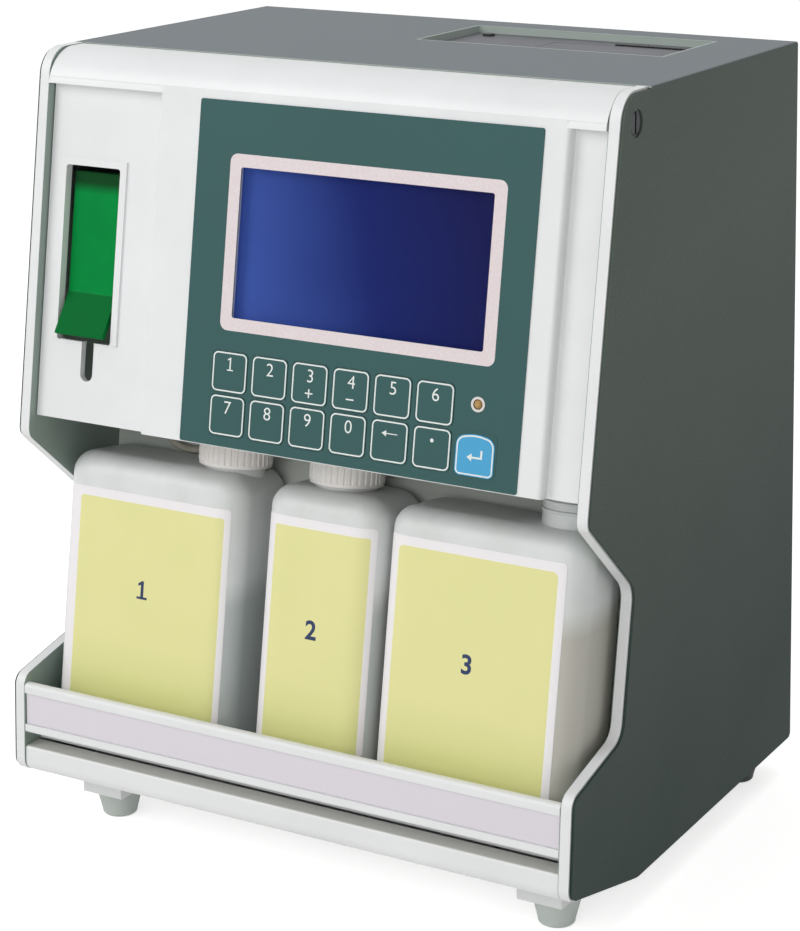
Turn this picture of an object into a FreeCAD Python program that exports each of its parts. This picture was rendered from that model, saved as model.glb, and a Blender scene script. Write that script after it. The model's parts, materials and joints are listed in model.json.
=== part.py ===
import FreeCAD, Part
import math
import os

# Bench-top electrolyte analyzer. Millimetres, +Z up, the front faces -Y, X runs to the right.
# The origin is on the ground, under the middle of the case.

V = FreeCAD.Vector

# Case
case_width = 260.0
ground_gap = 15.0
case_height = 315.0
front_y = -113.0
rear_y = 113.0
front_lean = math.radians(8.5)
rear_lean = math.radians(4.0)
front_line_y = -102.5
front_line_z = 173.5
front_height = 156.5
shoulder_radius = 12.0
cover_wall = 1.2
cheek_thickness = 4.4
rim_proud = 0.8
sheet = 1.6
side_gap = 0.2
cover_gap = 0.3

# Side outline below the elbow
elbow_radius = 6.0
notch_back_y = -61.0
notch_back_drop = 35.5
notch_back_radius = 10.0
notch_foot_y = -69.0
notch_foot_z = 80.5
notch_foot_radius = 8.0
lip_corner_y = -111.3
lip_corner_z = 71.0
chin_z = 30.0
chin_radius = 6.0
chamfer_end_y = -52.5
chamfer_radius = 20.0
heel_radius = 3.0

# Base plate: inside the cheeks, with a flange turned in over the chin
base_rear_gap = 2.4
chin_inset = 0.6
chin_draft = 0.4
chin_bend = 5.0
flange_depth = 9.0
standoff_radius = 3.0

# Door, measured on the leaning front: x across, s up from the elbow, d back from the cheek rims
door_gap = 0.5
door_wall = 3.0
block_left = -69.0
block_right = 110.0
block_proud = 1.0
recess_depth = 4.0
door_foot_s = 8.3
band_s = 144.5
band_radius = 17.0
seam_y = -57.1
seam_gap = 1.6
skirt_depth = 12.0

# Film overlay, display and keypad
film = 0.4
overlay_left = -49.5
overlay_right = 100.0
overlay_foot_s = 8.7
overlay_head_s = 143.8
display_x = 26.45
display_s = 89.1
display_width = 110.7
display_height = 58.8
lens_margin = 1.0
lens_thickness = 1.6
lens_gap = 0.15
board_thickness = 1.6
keypad_left = -40.0
keypad_right = 95.0
keypad_foot_s = 11.6
keypad_head_s = 46.6
keypad_d = 7.0
stem_end_d = 4.5
switch_gap = 0.1
keypad_switch = 6.0
display_face_d = 2.0
display_back_d = 9.0
display_board_width = 132.0
display_board_height = 84.0
board_screw_inset = 3.0
door_boss_radius = 2.6
key_size = 16.2
key_radius = 2.2
key_gap = 0.2
key_proud = 0.2
key_thickness = 0.5
key_travel = 0.4
pocket_gap = 0.2
key_stem_radius = 4.0
key_stem_clearance = 0.15
key_pitch_x = 18.3
first_key_x = -28.1
key_row_s = (38.3, 21.1)
led_x = 81.5
led_s = 40.1
led_radius = 1.7
led_clearance = 0.3

# Sampler window, lever and probe
window_inset = 21.65
window_width = 26.5
window_foot_s = 41.0
window_head_s = 112.3
window_rim = 3.0
rim_height = 0.9
slot_offset = 1.85
slot_width = 6.0
slot_foot_s = 25.0
lever_width = 23.6
lever_wall = 2.0
lever_face_d = 7.6
lever_head_s = 110.0
lever_bend_s = 61.0
lever_lip_s = 43.8
lever_lip_reach = 8.4
lever_pin_radius = 2.0
lever_pin_d = 14.0
lever_pin_s = 106.0
running_fit = 0.05
probe_radius = 0.6
probe_d = 20.0
probe_foot_s = 33.0
probe_head_s = 90.0
holder_foot_s = 70.0
holder_head_s = 84.0
holder_width = 8.0
lug_width = 4.0
bracket_gap = 0.8
bracket_wall = 1.6

# Hinge of the door
hinge_radius = 3.0
hinge_head_radius = 4.2
hinge_head_sink = 0.5
hinge_recess_radius = 5.2
hinge_recess_depth = 2.0
hinge_boss_length = 8.0
hinge_boss_radius = 6.5

# Bay behind the door and its bottles
panel_d = 64.0
panel_thickness = 1.5
bottle_face_d = 20.0
bottle_depth = 43.0
bottle_foot_drop = 120.0
bottle_head_s = -7.0
bottle_wall = 1.2
bottle_corner = 11.0
bottle_side_gap = 3.95
bottle_gap_left = 11.45
bottle_gap_right = 2.95
small_bottle_width = 53.5
small_neck_offset = 0.75
big_neck_inset = 15.7
neck_radius = 12.6
neck_thread = 0.6
neck_height = 18.0
thread_turns = 3
thread_pitch = 3.5
cap_radius = 15.3
cap_wall = 1.7
cap_ribs = 36
rib_depth = 0.55
cap_lift = 1.5
cap_top = 2.0
label_thickness = 0.15
label_corner = 1.5
label_foot = 10.0
tube_radius = 1.5
bend_share = 0.45
tube_hole_clearance = 0.25
shoulder_bend = 9.5
foot_bend = 3.0

# Tray under the bottles
tray_wall = 4.0
tray_foot_z = 46.5
tray_head_z = 68.0
tray_floor = 2.5
strip_foot_z = 50.2
strip_head_z = 63.9
strip_sink = 1.2
strip_thickness = 0.3
strip_gap = 0.2
slot_floor_z = 40.5
tray_inset = 0.8
tray_skirt = 2.0
tray_leg = 3.0
tray_panel_gap = 0.2

# Feet
foot_inset = 19.4
foot_y = -73.0
rear_foot_inset = 11.4
rear_foot_y = 92.0
foot_height = 12.5
foot_head_radius = 10.2
foot_base_radius = 7.5
block_width = 19.5
block_front_y = -87.0
block_rear_y = -61.0
block_offset = 1.0

# Printer in the top
printer_left = -9.5
printer_right = 100.0
printer_front_y = 20.0
printer_rear_y = 73.0
printer_recess = 3.0
deck_thickness = 2.0
deck_margin = 3.0
paper_radius = 15.0
paper_width = 57.5
lid_left = 34.0
lid_right = 97.0
lid_front_y = 24.0
lid_rear_y = 60.0
lid_gap = 0.4
lid_thickness = 1.8
lid_axis_y = 26.0
lid_axis_drop = 5.6
lid_barrel_radius = 2.4
lid_pin_radius = 1.5
ear_thickness = 2.4
platen_radius = 4.0
platen_axis_y = 55.0
platen_axis_drop = 9.6
platen_shaft_radius = 1.5
platen_gap = 0.3
bucket_front_y = 25.0
bucket_rear_y = 59.4
bucket_drop = 42.6
bucket_wall = 1.6
trough_radius = 17.0
tear_left = 60.0
tooth_width = 1.6
core_radius = 6.0

# Rear sheet with vents, mains inlet, switch and serial port, from the rear plane and its foot
rear_inset = 2.0
cutout_gap = 0.4
switch_cutout_gap = 0.2
port_side_gap = 0.5
inlet_x = -88.0
inlet_z = 42.0
inlet_width = 27.2
inlet_height = 20.2
inlet_depth = 22.0
inlet_flange_width = 40.0
inlet_flange_height = 23.0
socket_width = 24.0
socket_height = 16.0
socket_depth = 16.0
socket_bevel = 4.0
flange = 1.6
switch_x = -52.0
switch_width = 20.0
switch_height = 28.0
switch_depth = 16.0
switch_rim = 2.0
rocker_width = 16.0
rocker_height = 23.2
rocker_rise = 2.2
rocker_pin_radius = 1.5
rocker_pivot_depth = 4.0
port_x = 70.0
port_z = 42.0
port_width = 20.0
port_height = 10.6
port_depth = 10.0
port_shell = 4.4
post_radius = 2.2
vent_rows = 9
vent_z = 150.0
vent_pitch = 9.0
vent_x = 48.0
vent_length = 70.0
vent_height = 3.0
rear_screw_inset = 7.4
rear_screw_low = 14.0
rear_screw_middle = 158.0
rear_screw_drop = 15.0
screw_radius = 1.5
screw_head_radius = 3.2
screw_head_height = 1.8
screw_reach = 8.0
boss_radius = 4.5
boss_length = 12.0

# Peristaltic pump on the inner panel
pump_x = 84.0
pump_s = 70.0
pump_size = 42.0
pump_depth = 24.0
pump_track_radius = 17.0
pump_floor = 3.0
pump_loop_width = 20.8
motor_radius = 16.0
motor_length = 38.0
shaft_radius = 2.5
shaft_hole_radius = 4.0
rotor_radius = 13.0
rotor_plate = 2.5
rotor_back_plate = 2.4
roller_circle = 9.5
roller_radius = 3.8
roller_pin_radius = 1.2
roller_count = 3
running_gap = 0.3

# Electrodes in their rack, and the level where tubes meet them
electrode_x = -20.0
electrode_s = 78.0
electrode_pitch = 15.0
electrode_count = 5
electrode_depth = 26.0
electrode_gap = 0.3
rack_wall = 5.0
rack_back = 2.5
fitting_d = 49.0
fitting_s = 71.0
rack_drop = 15.0
rack_end = 5.0

# Control board and supply on the floor
board_x0 = -30.0
board_side_gap = 14.4
board_y0 = -40.0
board_y1 = 90.0
board_z = 22.6
board_hole_inset = 5.0
supply_side_gap = 6.4
supply_width = 68.0
supply_y0 = -28.0
supply_y1 = 78.0
supply_height = 42.0
supply_slots = 6
supply_slot_pitch = 9.0
supply_slot_width = 3.0

half_width = case_width / 2
top_z = ground_gap + case_height
elbow_z = top_z - front_height
elbow_y = front_line_y + (elbow_z - front_line_z) * math.tan(front_lean)
notch_back_z = elbow_z - notch_back_drop
cheek_inner = half_width - cover_wall - cheek_thickness
cheek_outer = half_width - cover_wall
rear_top_y = rear_y - case_height * math.tan(rear_lean)
top_front_y = elbow_y + (top_z - elbow_z) * math.tan(front_lean)
neck_d = bottle_face_d + bottle_depth / 2
door_half = cheek_inner - door_gap
window_x = window_inset - door_half
slot_x = window_x + slot_offset
bottle_foot_s = (front_line_z - elbow_z) / math.cos(front_lean) - bottle_foot_drop
bottle_gaps = bottle_gap_left + bottle_gap_right
big_bottle_width = cheek_inner - bottle_side_gap - (bottle_gaps + small_bottle_width) / 2
big_bottle_x = cheek_inner - bottle_side_gap - big_bottle_width / 2
small_bottle_x = big_bottle_width / 2 + bottle_gap_left + small_bottle_width / 2 - big_bottle_x
foot_x = cheek_inner - foot_inset
rear_foot_x = cheek_inner - rear_foot_inset
lid_axis = (lid_axis_y, top_z - lid_axis_drop)
platen_axis = (platen_axis_y, top_z - platen_axis_drop)
bucket_z = top_z - bucket_drop
rear_screw_x = cheek_inner - rear_screw_inset
rear_screw_heights = (rear_screw_low, rear_screw_middle, case_height - rear_screw_drop)
board_x1 = cheek_inner - board_side_gap
supply_x0 = supply_side_gap - cheek_inner
supply_x1 = supply_x0 + supply_width
lean_turn = -math.degrees(front_lean)


def at(d, s):
    """Y and Z of the point d behind the leaning front and s above the elbow."""
    y = elbow_y + d * math.cos(front_lean) + s * math.sin(front_lean)
    z = elbow_z - d * math.sin(front_lean) + s * math.cos(front_lean)
    return y, z


def s_at(d, z):
    """Height s on the leaning front where depth d meets the level z."""
    return (z - elbow_z + d * math.sin(front_lean)) / math.cos(front_lean)


def lean(shape):
    """Set a shape built upright as (x, d, s) on the leaning front."""
    placed = shape.copy()
    placed.rotate(V(0, 0, 0), V(1, 0, 0), lean_turn)
    placed.translate(V(0, elbow_y, elbow_z))
    return placed


def lean_rear(shape):
    """Set a shape built upright as (x, distance behind the rear sheet, height) on the rear."""
    placed = shape.copy()
    placed.rotate(V(0, 0, 0), V(1, 0, 0), math.degrees(rear_lean))
    placed.translate(V(0, rear_y, ground_gap))
    return placed


def slab(x0, x1, y0, y1, z0, z1):
    """Box between two corners."""
    return Part.makeBox(x1 - x0, y1 - y0, z1 - z0, V(x0, y0, z0))


def rod(start, end, radius):
    """Cylinder from start to end."""
    start = V(*start)
    path = V(*end) - start
    return Part.makeCylinder(radius, path.Length, start, path)


def to_space(plane, u, v, w):
    """Point (u, v) of a plane at distance w from the origin."""
    if plane == "yz":
        return V(w, u, v)
    if plane == "xz":
        return V(u, w, v)
    return V(u, v, w)


def outline(corners, plane, w):
    """Closed face through (u, v, radius) corners, each rounded by a tangent arc."""
    starts, ends, middles = [], [], []
    count = len(corners)
    for i in range(count):
        u, v, radius = corners[i]
        here = V(u, v, 0)
        before = here - V(corners[i - 1][0], corners[i - 1][1], 0)
        after = V(corners[(i + 1) % count][0], corners[(i + 1) % count][1], 0) - here
        before.normalize()
        after.normalize()
        turn = before.getAngle(after)
        if radius == 0 or turn < 1e-4:
            starts.append(here)
            ends.append(here)
            middles.append(None)
            continue
        reach = radius * math.tan(turn / 2)
        inward = after - before
        inward.normalize()
        starts.append(here - before * reach)
        ends.append(here + after * reach)
        middles.append(here + inward * (radius / math.cos(turn / 2) - radius))
    edges = []
    for i in range(count):
        if middles[i] is not None:
            points = [to_space(plane, p.x, p.y, w) for p in (starts[i], middles[i], ends[i])]
            edges.append(Part.Arc(*points).toShape())
        a = to_space(plane, ends[i].x, ends[i].y, w)
        b = to_space(plane, starts[(i + 1) % count].x, starts[(i + 1) % count].y, w)
        if a.distanceToPoint(b) > 1e-6:
            edges.append(Part.LineSegment(a, b).toShape())
    return Part.Face(Part.Wire(edges))


def prism(corners, plane, w0, w1):
    """Rounded outline pushed from w0 to w1 along the plane's normal."""
    return outline(corners, plane, w0).extrude(to_space(plane, 0, 0, w1 - w0))


def plate(x0, x1, s0, s1, d0, d1, radius):
    """Upright plate with rounded corners, seen from the front."""
    corners = [(x0, s0, radius), (x1, s0, radius), (x1, s1, radius), (x0, s1, radius)]
    return prism(corners, "xz", d0, d1)


def fuse(shapes):
    """One solid from touching or overlapping shapes."""
    whole = shapes[0].fuse(shapes[1:]) if len(shapes) > 1 else shapes[0]
    return whole.removeSplitter()


def mirror(shape):
    """Copy of a shape on the other side of the middle plane."""
    return shape.mirror(V(0, 0, 0), V(1, 0, 0))


def tube(points, radius, name):
    """Round tube along straight runs joined by tangent arcs, each arc a slice of a torus."""
    points = [V(*p) for p in points]
    pieces = []
    start = points[0]
    length = 0.0
    radii = []
    for i in range(1, len(points) - 1):
        before = points[i] - points[i - 1]
        after = points[i + 1] - points[i]
        reach = bend_share * min(before.Length, after.Length)
        before.normalize()
        after.normalize()
        turn = before.getAngle(after)
        bend = reach / math.tan(turn / 2)
        arc_start = points[i] - before * reach
        side = (after - before * before.dot(after))
        side.normalize()
        centre = arc_start + side * bend
        pieces.append(Part.makeCylinder(radius, start.distanceToPoint(arc_start), start, before))
        ring = Part.Face(Part.Wire(Part.makeCircle(radius, arc_start, before)))
        pieces.append(ring.revolve(centre, before.cross(side), math.degrees(turn)))
        length += start.distanceToPoint(arc_start) + bend * turn
        start = points[i] + after * reach
        radii.append(round(bend, 1))
    last = points[-1] - start
    pieces.append(Part.makeCylinder(radius, last.Length, start, last))
    length += last.Length
    solid = fuse(pieces)
    share = solid.Volume / (math.pi * radius * radius * length)
    print(name, "length", round(length, 1), "radii", radii, "volume share", round(share, 4))
    return solid


def save(name, shapes):
    """Write one node as a STEP file."""
    solids = []
    for shape in shapes:
        solids.extend(shape.Solids)
    whole = solids[0] if len(solids) == 1 else Part.Compound(solids)
    if not whole.isValid():
        print("not valid:", name)
    whole.exportStep(os.path.join("parts", name + ".step"))
    nodes[name] = whole


def case_corners(top_step):
    """Side outline of the case, from the rear foot round to the chin. top_step lowers the rear top."""
    corners = [(rear_y, ground_gap, heel_radius)]
    if top_step > 0:
        corners.append((rear_top_y, top_z - top_step, 2.0))
        corners.append((seam_y - cover_gap, top_z - top_step, 0))
        corners.append((seam_y - cover_gap, top_z, 0))
    else:
        corners.append((rear_top_y, top_z, 0))
    corners.append((top_front_y, top_z, shoulder_radius))
    corners.append((elbow_y, elbow_z, elbow_radius))
    corners.append((notch_back_y, notch_back_z, notch_back_radius))
    corners.append((notch_foot_y, notch_foot_z, notch_foot_radius))
    corners.append((lip_corner_y, lip_corner_z, chin_radius))
    corners.append((front_y, chin_z, chin_radius))
    corners.append((chamfer_end_y, ground_gap, chamfer_radius))
    return corners


def hinge_centre():
    """Y and Z of the door's pivot, at the centre of the shoulder's arc."""
    z = top_z - shoulder_radius
    return at(shoulder_radius, s_at(shoulder_radius, z))


def make_outer_cover():
    """Top sheet and both side sheets, folded from one piece."""
    side = outline(case_corners(0), "yz", cheek_outer).makeOffset2D(-rim_proud)
    side = side.extrude(V(cover_wall, 0, 0))
    y, z = hinge_centre()
    hole = rod((cheek_outer - 1, y, z), (half_width + 1, y, z), hinge_recess_radius)
    side = side.cut(hole)
    top = slab(-half_width, half_width, seam_y, rear_top_y - rim_proud, top_z - cover_wall, top_z)
    collar = slab(
        printer_left - cover_wall, printer_right + cover_wall,
        printer_front_y - cover_wall, printer_rear_y + cover_wall,
        top_z - printer_recess, top_z)
    window = slab(
        printer_left, printer_right, printer_front_y, printer_rear_y,
        top_z - printer_recess - 1, top_z + 1)
    whole = fuse([side, mirror(side), top, collar]).cut(window)
    bends = []
    for edge in whole.Edges:
        box = edge.BoundBox
        if box.YLength > 100 and box.ZMin > top_z - 0.01 and abs(abs(box.XMin) - half_width) < 0.01:
            bends.append(edge)
    return whole.makeFillet(cover_wall * 0.8, bends)


def make_cheek():
    """Right cheek: a moulded plate whose rim frames the front."""
    body = prism(case_corners(cover_wall), "yz", cheek_inner, cheek_outer)
    y, z = hinge_centre()
    bore = rod((cheek_inner - 1, y, z), (cheek_outer + 1, y, z), hinge_radius + running_fit)
    seat = rod((cheek_outer - hinge_recess_depth, y, z), (cheek_outer + 1, y, z), hinge_recess_radius)
    bosses = []
    holes = []
    back = -rear_inset - sheet
    for x, h in rear_screw_places():
        if x > 0:
            bosses.append(rod((x, back - boss_length, h), (x, back, h), boss_radius))
            web = boss_radius - 1.5
            bosses.append(slab(x, cheek_inner + 0.5, back - boss_length, back, h - web, h + web))
            holes.append(rod((x, back - screw_reach, h), (x, back + 1, h), screw_radius))
    body = fuse([body] + [lean_rear(b) for b in bosses])
    return body.cut(bore).cut(seat).cut(fuse([lean_rear(h) for h in holes]))


def make_hinge_screws():
    """Two shouldered screws that the door turns on."""
    y, z = hinge_centre()
    head_x = half_width - hinge_head_sink
    seat_x = cheek_outer - hinge_recess_depth
    pin = rod((cheek_inner - hinge_boss_length, y, z), (seat_x, y, z), hinge_radius)
    head = rod((seat_x, y, z), (head_x, y, z), hinge_head_radius)
    slot = slab(head_x - 0.9, head_x + 1, y - 0.6, y + 0.6, z - 6, z + 6)
    screw = fuse([pin, head]).cut(slot)
    return [screw, mirror(screw)]


def make_base_plate():
    """Bent floor sheet with the rising front, its turned-in top edge and two levelling blocks."""
    rear = rear_y - base_rear_gap
    w = sheet
    rise = (chin_z - ground_gap) / (chamfer_end_y - front_y)
    chin_y = front_y + chin_inset
    flange_y = chin_y + chin_draft
    flange_end_y = chin_y + flange_depth
    corners = [
        (rear, ground_gap, 0), (chamfer_end_y, ground_gap, chamfer_radius), (chin_y, chin_z, chin_bend),
        (flange_y, slot_floor_z, 1.2), (flange_end_y, slot_floor_z, 0),
        (flange_end_y, slot_floor_z - w, 0), (flange_y + w, slot_floor_z - w, 0),
        (chin_y + w, chin_z + w - rise * w, chin_bend - w),
        (chamfer_end_y + rise * w, ground_gap + w, chamfer_radius), (rear, ground_gap + w, 0)]
    half = cheek_inner - side_gap
    parts = [prism(corners, "yz", -half, half)]
    floor_z = foot_height
    for side in (-1, 1):
        centre = side * (foot_x - block_offset)
        wide = block_width / 2
        top_z_front = ground_gap + (chamfer_end_y - block_front_y) * rise
        block = prism(
            [(block_front_y, floor_z, 0.8), (block_rear_y, floor_z, 0),
             (block_rear_y, ground_gap + 1.0, 0), (block_front_y, top_z_front + 0.6, 0)],
            "yz", centre - wide, centre + wide)
        parts.append(block)
    for side in (-1, 1):
        parts.append(rod((side * rear_foot_x, rear_foot_y, floor_z),
                         (side * rear_foot_x, rear_foot_y, ground_gap + w), foot_head_radius - 0.5))
    for x, y in board_corners():
        parts.append(rod((x, y, ground_gap + 0.5), (x, y, board_z), standoff_radius))
    return fuse(parts)


def make_rubber_feet():
    """Four tapered cups with rounded soles."""
    feet = []
    fronts = [(-foot_x, foot_y), (foot_x, foot_y)]
    rears = [(-rear_foot_x, rear_foot_y), (rear_foot_x, rear_foot_y)]
    for x, y in fronts + rears:
        profile = [
            V(0, 0, 0), V(foot_base_radius - 1.6, 0, 0), V(foot_base_radius, 0, 1.8),
            V(foot_head_radius, 0, foot_height), V(0, 0, foot_height)]
        edges = [
            Part.LineSegment(profile[0], profile[1]).toShape(),
            Part.Arc(profile[1], V(foot_base_radius - 0.4, 0, 0.5), profile[2]).toShape(),
            Part.LineSegment(profile[2], profile[3]).toShape(),
            Part.LineSegment(profile[3], profile[4]).toShape(),
            Part.LineSegment(profile[4], profile[0]).toShape()]
        foot = Part.Face(Part.Wire(edges)).revolve(V(0, 0, 0), V(0, 0, 1), 360)
        foot.translate(V(x, y, 0))
        feet.append(foot)
    return feet


def make_inner_panel():
    """Leaning sheet behind the bottles that also carries the pump and the electrodes."""
    half = cheek_inner - side_gap
    foot_s = s_at(panel_d, ground_gap + sheet + 2.3)
    head_s = s_at(panel_d, top_z - cover_wall - 4.0)
    body = slab(-half, half, panel_d, panel_d + panel_thickness, foot_s, head_s)
    shaft_hole = rod((pump_x, panel_d - 1, pump_s), (pump_x, panel_d + 3, pump_s), shaft_hole_radius)
    return lean(body.cut(shaft_hole))


def make_rear_panel():
    """Rear sheet with vents and the cut-outs of the mains inlet, switch and serial port."""
    half = cheek_inner - side_gap
    height = case_height / math.cos(rear_lean) - cover_wall - 1.5
    body = slab(-half, half, -rear_inset - sheet, -rear_inset, sheet + 0.3, height)
    cuts = []
    for x, z, wide, high, side, end in (
            (inlet_x, inlet_z, inlet_width, inlet_height, cutout_gap, cutout_gap),
            (switch_x, inlet_z, switch_width, switch_height, switch_cutout_gap, switch_cutout_gap),
            (port_x, port_z, port_width, port_height, port_side_gap, cutout_gap)):
        w = wide / 2 + side
        h = high / 2 + end
        cuts.append(slab(x - w, x + w, -10, 2, z - h, z + h))
    for row in range(vent_rows):
        z = vent_z + row * vent_pitch
        for side in (-1, 1):
            x = side * vent_x
            h = vent_height / 2
            cuts.append(plate(x - vent_length / 2, x + vent_length / 2, z - h, z + h, -10, 2, h - 0.05))
    for x, h in rear_screw_places():
        cuts.append(rod((x, -10, h), (x, 2, h), screw_radius))
    return lean_rear(body.cut(fuse(cuts)))


def make_power_inlet():
    """Three-pin mains inlet with a flange outside and a body inside."""
    face = -rear_inset
    rim = plate(inlet_x - inlet_flange_width / 2, inlet_x + inlet_flange_width / 2,
                inlet_z - inlet_flange_height / 2, inlet_z + inlet_flange_height / 2,
                face, face + flange, 2.0)
    body = slab(inlet_x - inlet_width / 2, inlet_x + inlet_width / 2, face - inlet_depth, face,
                inlet_z - inlet_height / 2, inlet_z + inlet_height / 2)
    w = socket_width / 2
    h = socket_height / 2
    cavity = prism(
        [(inlet_x - w, inlet_z - h, 1), (inlet_x + w, inlet_z - h, 1),
         (inlet_x + w, inlet_z + h - socket_bevel, 0.5), (inlet_x + w - socket_bevel, inlet_z + h, 0.5),
         (inlet_x - w + socket_bevel, inlet_z + h, 0.5), (inlet_x - w, inlet_z + h - socket_bevel, 0.5)],
        "xz", face - socket_depth, face + flange + 1)
    shell = fuse([rim, body]).cut(cavity)
    pins = []
    for dx, dz in ((-7.0, -1.5), (7.0, -1.5), (0.0, 2.5)):
        pins.append(slab(inlet_x + dx - 1.0, inlet_x + dx + 1.0, face - socket_depth - 1.0, face - 3.0,
                         inlet_z + dz - 2.0, inlet_z + dz + 2.0))
    return [lean_rear(fuse([shell] + pins))]


def make_serial_port():
    """Nine-way connector with its flange and two posts."""
    face = -rear_inset
    post_x = port_width / 2 + 2.5
    rim_w = post_x + 3.0
    rim_h = port_height / 2 + 0.9
    rim = plate(port_x - rim_w, port_x + rim_w, port_z - rim_h, port_z + rim_h, face, face + 1.0, 1.0)
    body = slab(port_x - port_width / 2, port_x + port_width / 2, face - port_depth, face,
                port_z - port_height / 2, port_z + port_height / 2)
    wide = port_width / 2 - 1.6
    narrow = port_width / 2 - 2.8
    high = port_height / 2 - 1.3
    shell = prism(
        [(port_x - wide, port_z + high, 2), (port_x - narrow, port_z - high, 2),
         (port_x + narrow, port_z - high, 2), (port_x + wide, port_z + high, 2)],
        "xz", face, face + port_shell)
    posts = []
    for x in (port_x - post_x, port_x + post_x):
        posts.append(rod((x, face, port_z), (x, face + port_shell - 0.4, port_z), post_radius))
    return [lean_rear(fuse([rim, body, shell] + posts))]


def make_power_switch():
    """Rocker of the mains switch, and the frame it tips in."""
    face = -rear_inset
    x, z = switch_x, inlet_z
    w = switch_width / 2
    h = switch_height / 2
    rim = plate(x - w - switch_rim, x + w + switch_rim, z - h - switch_rim, z + h + switch_rim,
                face, face + 1.4, 1.5)
    tub = slab(x - w, x + w, face - switch_depth, face, z - h, z + h)
    well = slab(x - w + 1.6, x + w - 1.6, face - switch_depth + 4.0, face + 2, z - h + 0.8, z + h - 0.8)
    pivot_y = face - rocker_pivot_depth
    pivot = rod((x - w + 1.0, pivot_y, z), (x + w - 1.0, pivot_y, z), rocker_pin_radius)
    frame = fuse([fuse([rim, tub]).cut(well), pivot])
    low_y = pivot_y - 3.0
    crown_y = pivot_y + rocker_pivot_depth + 0.2
    reach = rocker_height / 2
    rocker = prism(
        [(low_y, z - 8.0, 1.0), (low_y, z + 8.0, 1.0), (crown_y, z + reach, 0.8),
         (crown_y + rocker_rise * 0.3, z, 0), (crown_y + rocker_rise, z - reach, 0.8)],
        "yz", x - rocker_width / 2, x + rocker_width / 2)
    bore = rod((x - w, pivot_y, z), (x + w, pivot_y, z), rocker_pin_radius + running_fit)
    return lean_rear(frame), lean_rear(rocker.cut(bore))


def tray_face(z):
    """Y of the tray's front face at a level."""
    foot_y = front_y + tray_inset
    head_y = lip_corner_y - 0.3
    return foot_y + (z - tray_foot_z) * (head_y - foot_y) / (tray_head_z - tray_foot_z)


def make_tray():
    """Moulded tray: front wall with a label recess, sloping floor and a skirt behind the slot."""
    half = cheek_inner - side_gap
    foot_y = tray_face(tray_foot_z)
    head_y = tray_face(tray_head_z)
    low_y = tray_face(strip_foot_z)
    high_y = tray_face(strip_head_z)
    wall = prism(
        [(foot_y, tray_foot_z, 1.2), (low_y, strip_foot_z, 0), (low_y + strip_sink, strip_foot_z, 0),
         (high_y + strip_sink, strip_head_z, 0), (high_y, strip_head_z, 0), (head_y, tray_head_z, 1.8),
         (head_y + tray_wall, tray_head_z, 1.2), (foot_y + tray_wall, tray_foot_z, 0)],
        "yz", -half, half)
    start_y, start_z = at(bottle_face_d - 6.0, bottle_foot_s)
    back_y, back_z = at(panel_d - 0.6, bottle_foot_s)
    wall_y = tray_face(start_z)
    floor = prism(
        [(wall_y + 2.0, start_z, 0), (start_y, start_z, 0), (back_y, back_z, 0),
         (back_y, back_z - tray_floor, 0), (start_y, start_z - tray_floor, 0),
         (wall_y + 2.0, start_z - tray_floor, 0)],
        "yz", -half, half)
    skirt_y = wall_y + tray_wall + 6.0
    skirt = slab(-half, half, skirt_y, skirt_y + tray_skirt, slot_floor_z + 0.3, start_z - 1.0)
    leg_rear_d = panel_d - tray_panel_gap
    leg_d = leg_rear_d - tray_leg
    leg_foot_s = s_at(leg_d, ground_gap + sheet + 3.1)
    leg = lean(slab(-half, half, leg_d, leg_rear_d, leg_foot_s, bottle_foot_s - 1.0))
    return fuse([wall, floor, skirt, leg])


def make_tray_strip():
    """Plain marking strip in the tray's recess."""
    half = cheek_inner - side_gap - 2 * strip_gap
    z0 = strip_foot_z + strip_gap
    z1 = strip_head_z - strip_gap
    y0 = tray_face(z0) + strip_sink
    y1 = tray_face(z1) + strip_sink
    t = strip_thickness
    return prism([(y0 - t, z0, 0), (y0, z0, 0), (y1, z1, 0), (y1 - t, z1, 0)], "yz", -half, half)


def bottle_body(width, inset, height):
    """Rounded block of a blown bottle, inset from its outer face."""
    w = width / 2 - inset
    depth = bottle_depth / 2 - inset
    corner = bottle_corner - inset
    corners = [(-w, -depth, corner), (w, -depth, corner), (w, depth, corner), (-w, depth, corner)]
    body = prism(corners, "xy", inset, height - inset)
    top_edges = [e for e in body.Edges if e.BoundBox.ZMin > height - inset - 0.01]
    foot_edges = [e for e in body.Edges if e.BoundBox.ZMax < inset + 0.01]
    return body.makeFillet(shoulder_bend - inset, top_edges).makeFillet(foot_bend - inset / 2, foot_edges)


def make_bottle(centre_x, width, neck_x):
    """Hollow blown bottle with a threaded neck, standing in the tray."""
    height = bottle_head_s - bottle_foot_s
    neck_z = height + neck_height
    outer = bottle_body(width, 0.0, height)
    neck = rod((neck_x, 0, height - 4.0), (neck_x, 0, neck_z), neck_radius)
    inside = neck_radius - bottle_wall / 2
    crest = neck_radius + neck_thread
    beads = []
    for i in range(thread_turns):
        low = height + 5.2 + i * thread_pitch
        section = Part.makePolygon([
            V(inside, 0, low), V(neck_radius, 0, low), V(crest, 0, low + 0.5), V(crest, 0, low + 1.1),
            V(neck_radius, 0, low + 1.6), V(inside, 0, low + 1.6), V(inside, 0, low)])
        bead = Part.Face(section).revolve(V(0, 0, 0), V(0, 0, 1), 360)
        bead.translate(V(neck_x, 0, 0))
        beads.append(bead)
    inner = bottle_body(width, bottle_wall, height)
    mouth = rod((neck_x, 0, height - 6.0), (neck_x, 0, neck_z + 1), neck_radius - bottle_wall)
    body = fuse([outer, neck] + beads).cut(inner.fuse(mouth))
    body.translate(V(centre_x, neck_d, bottle_foot_s))
    return lean(body)


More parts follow.
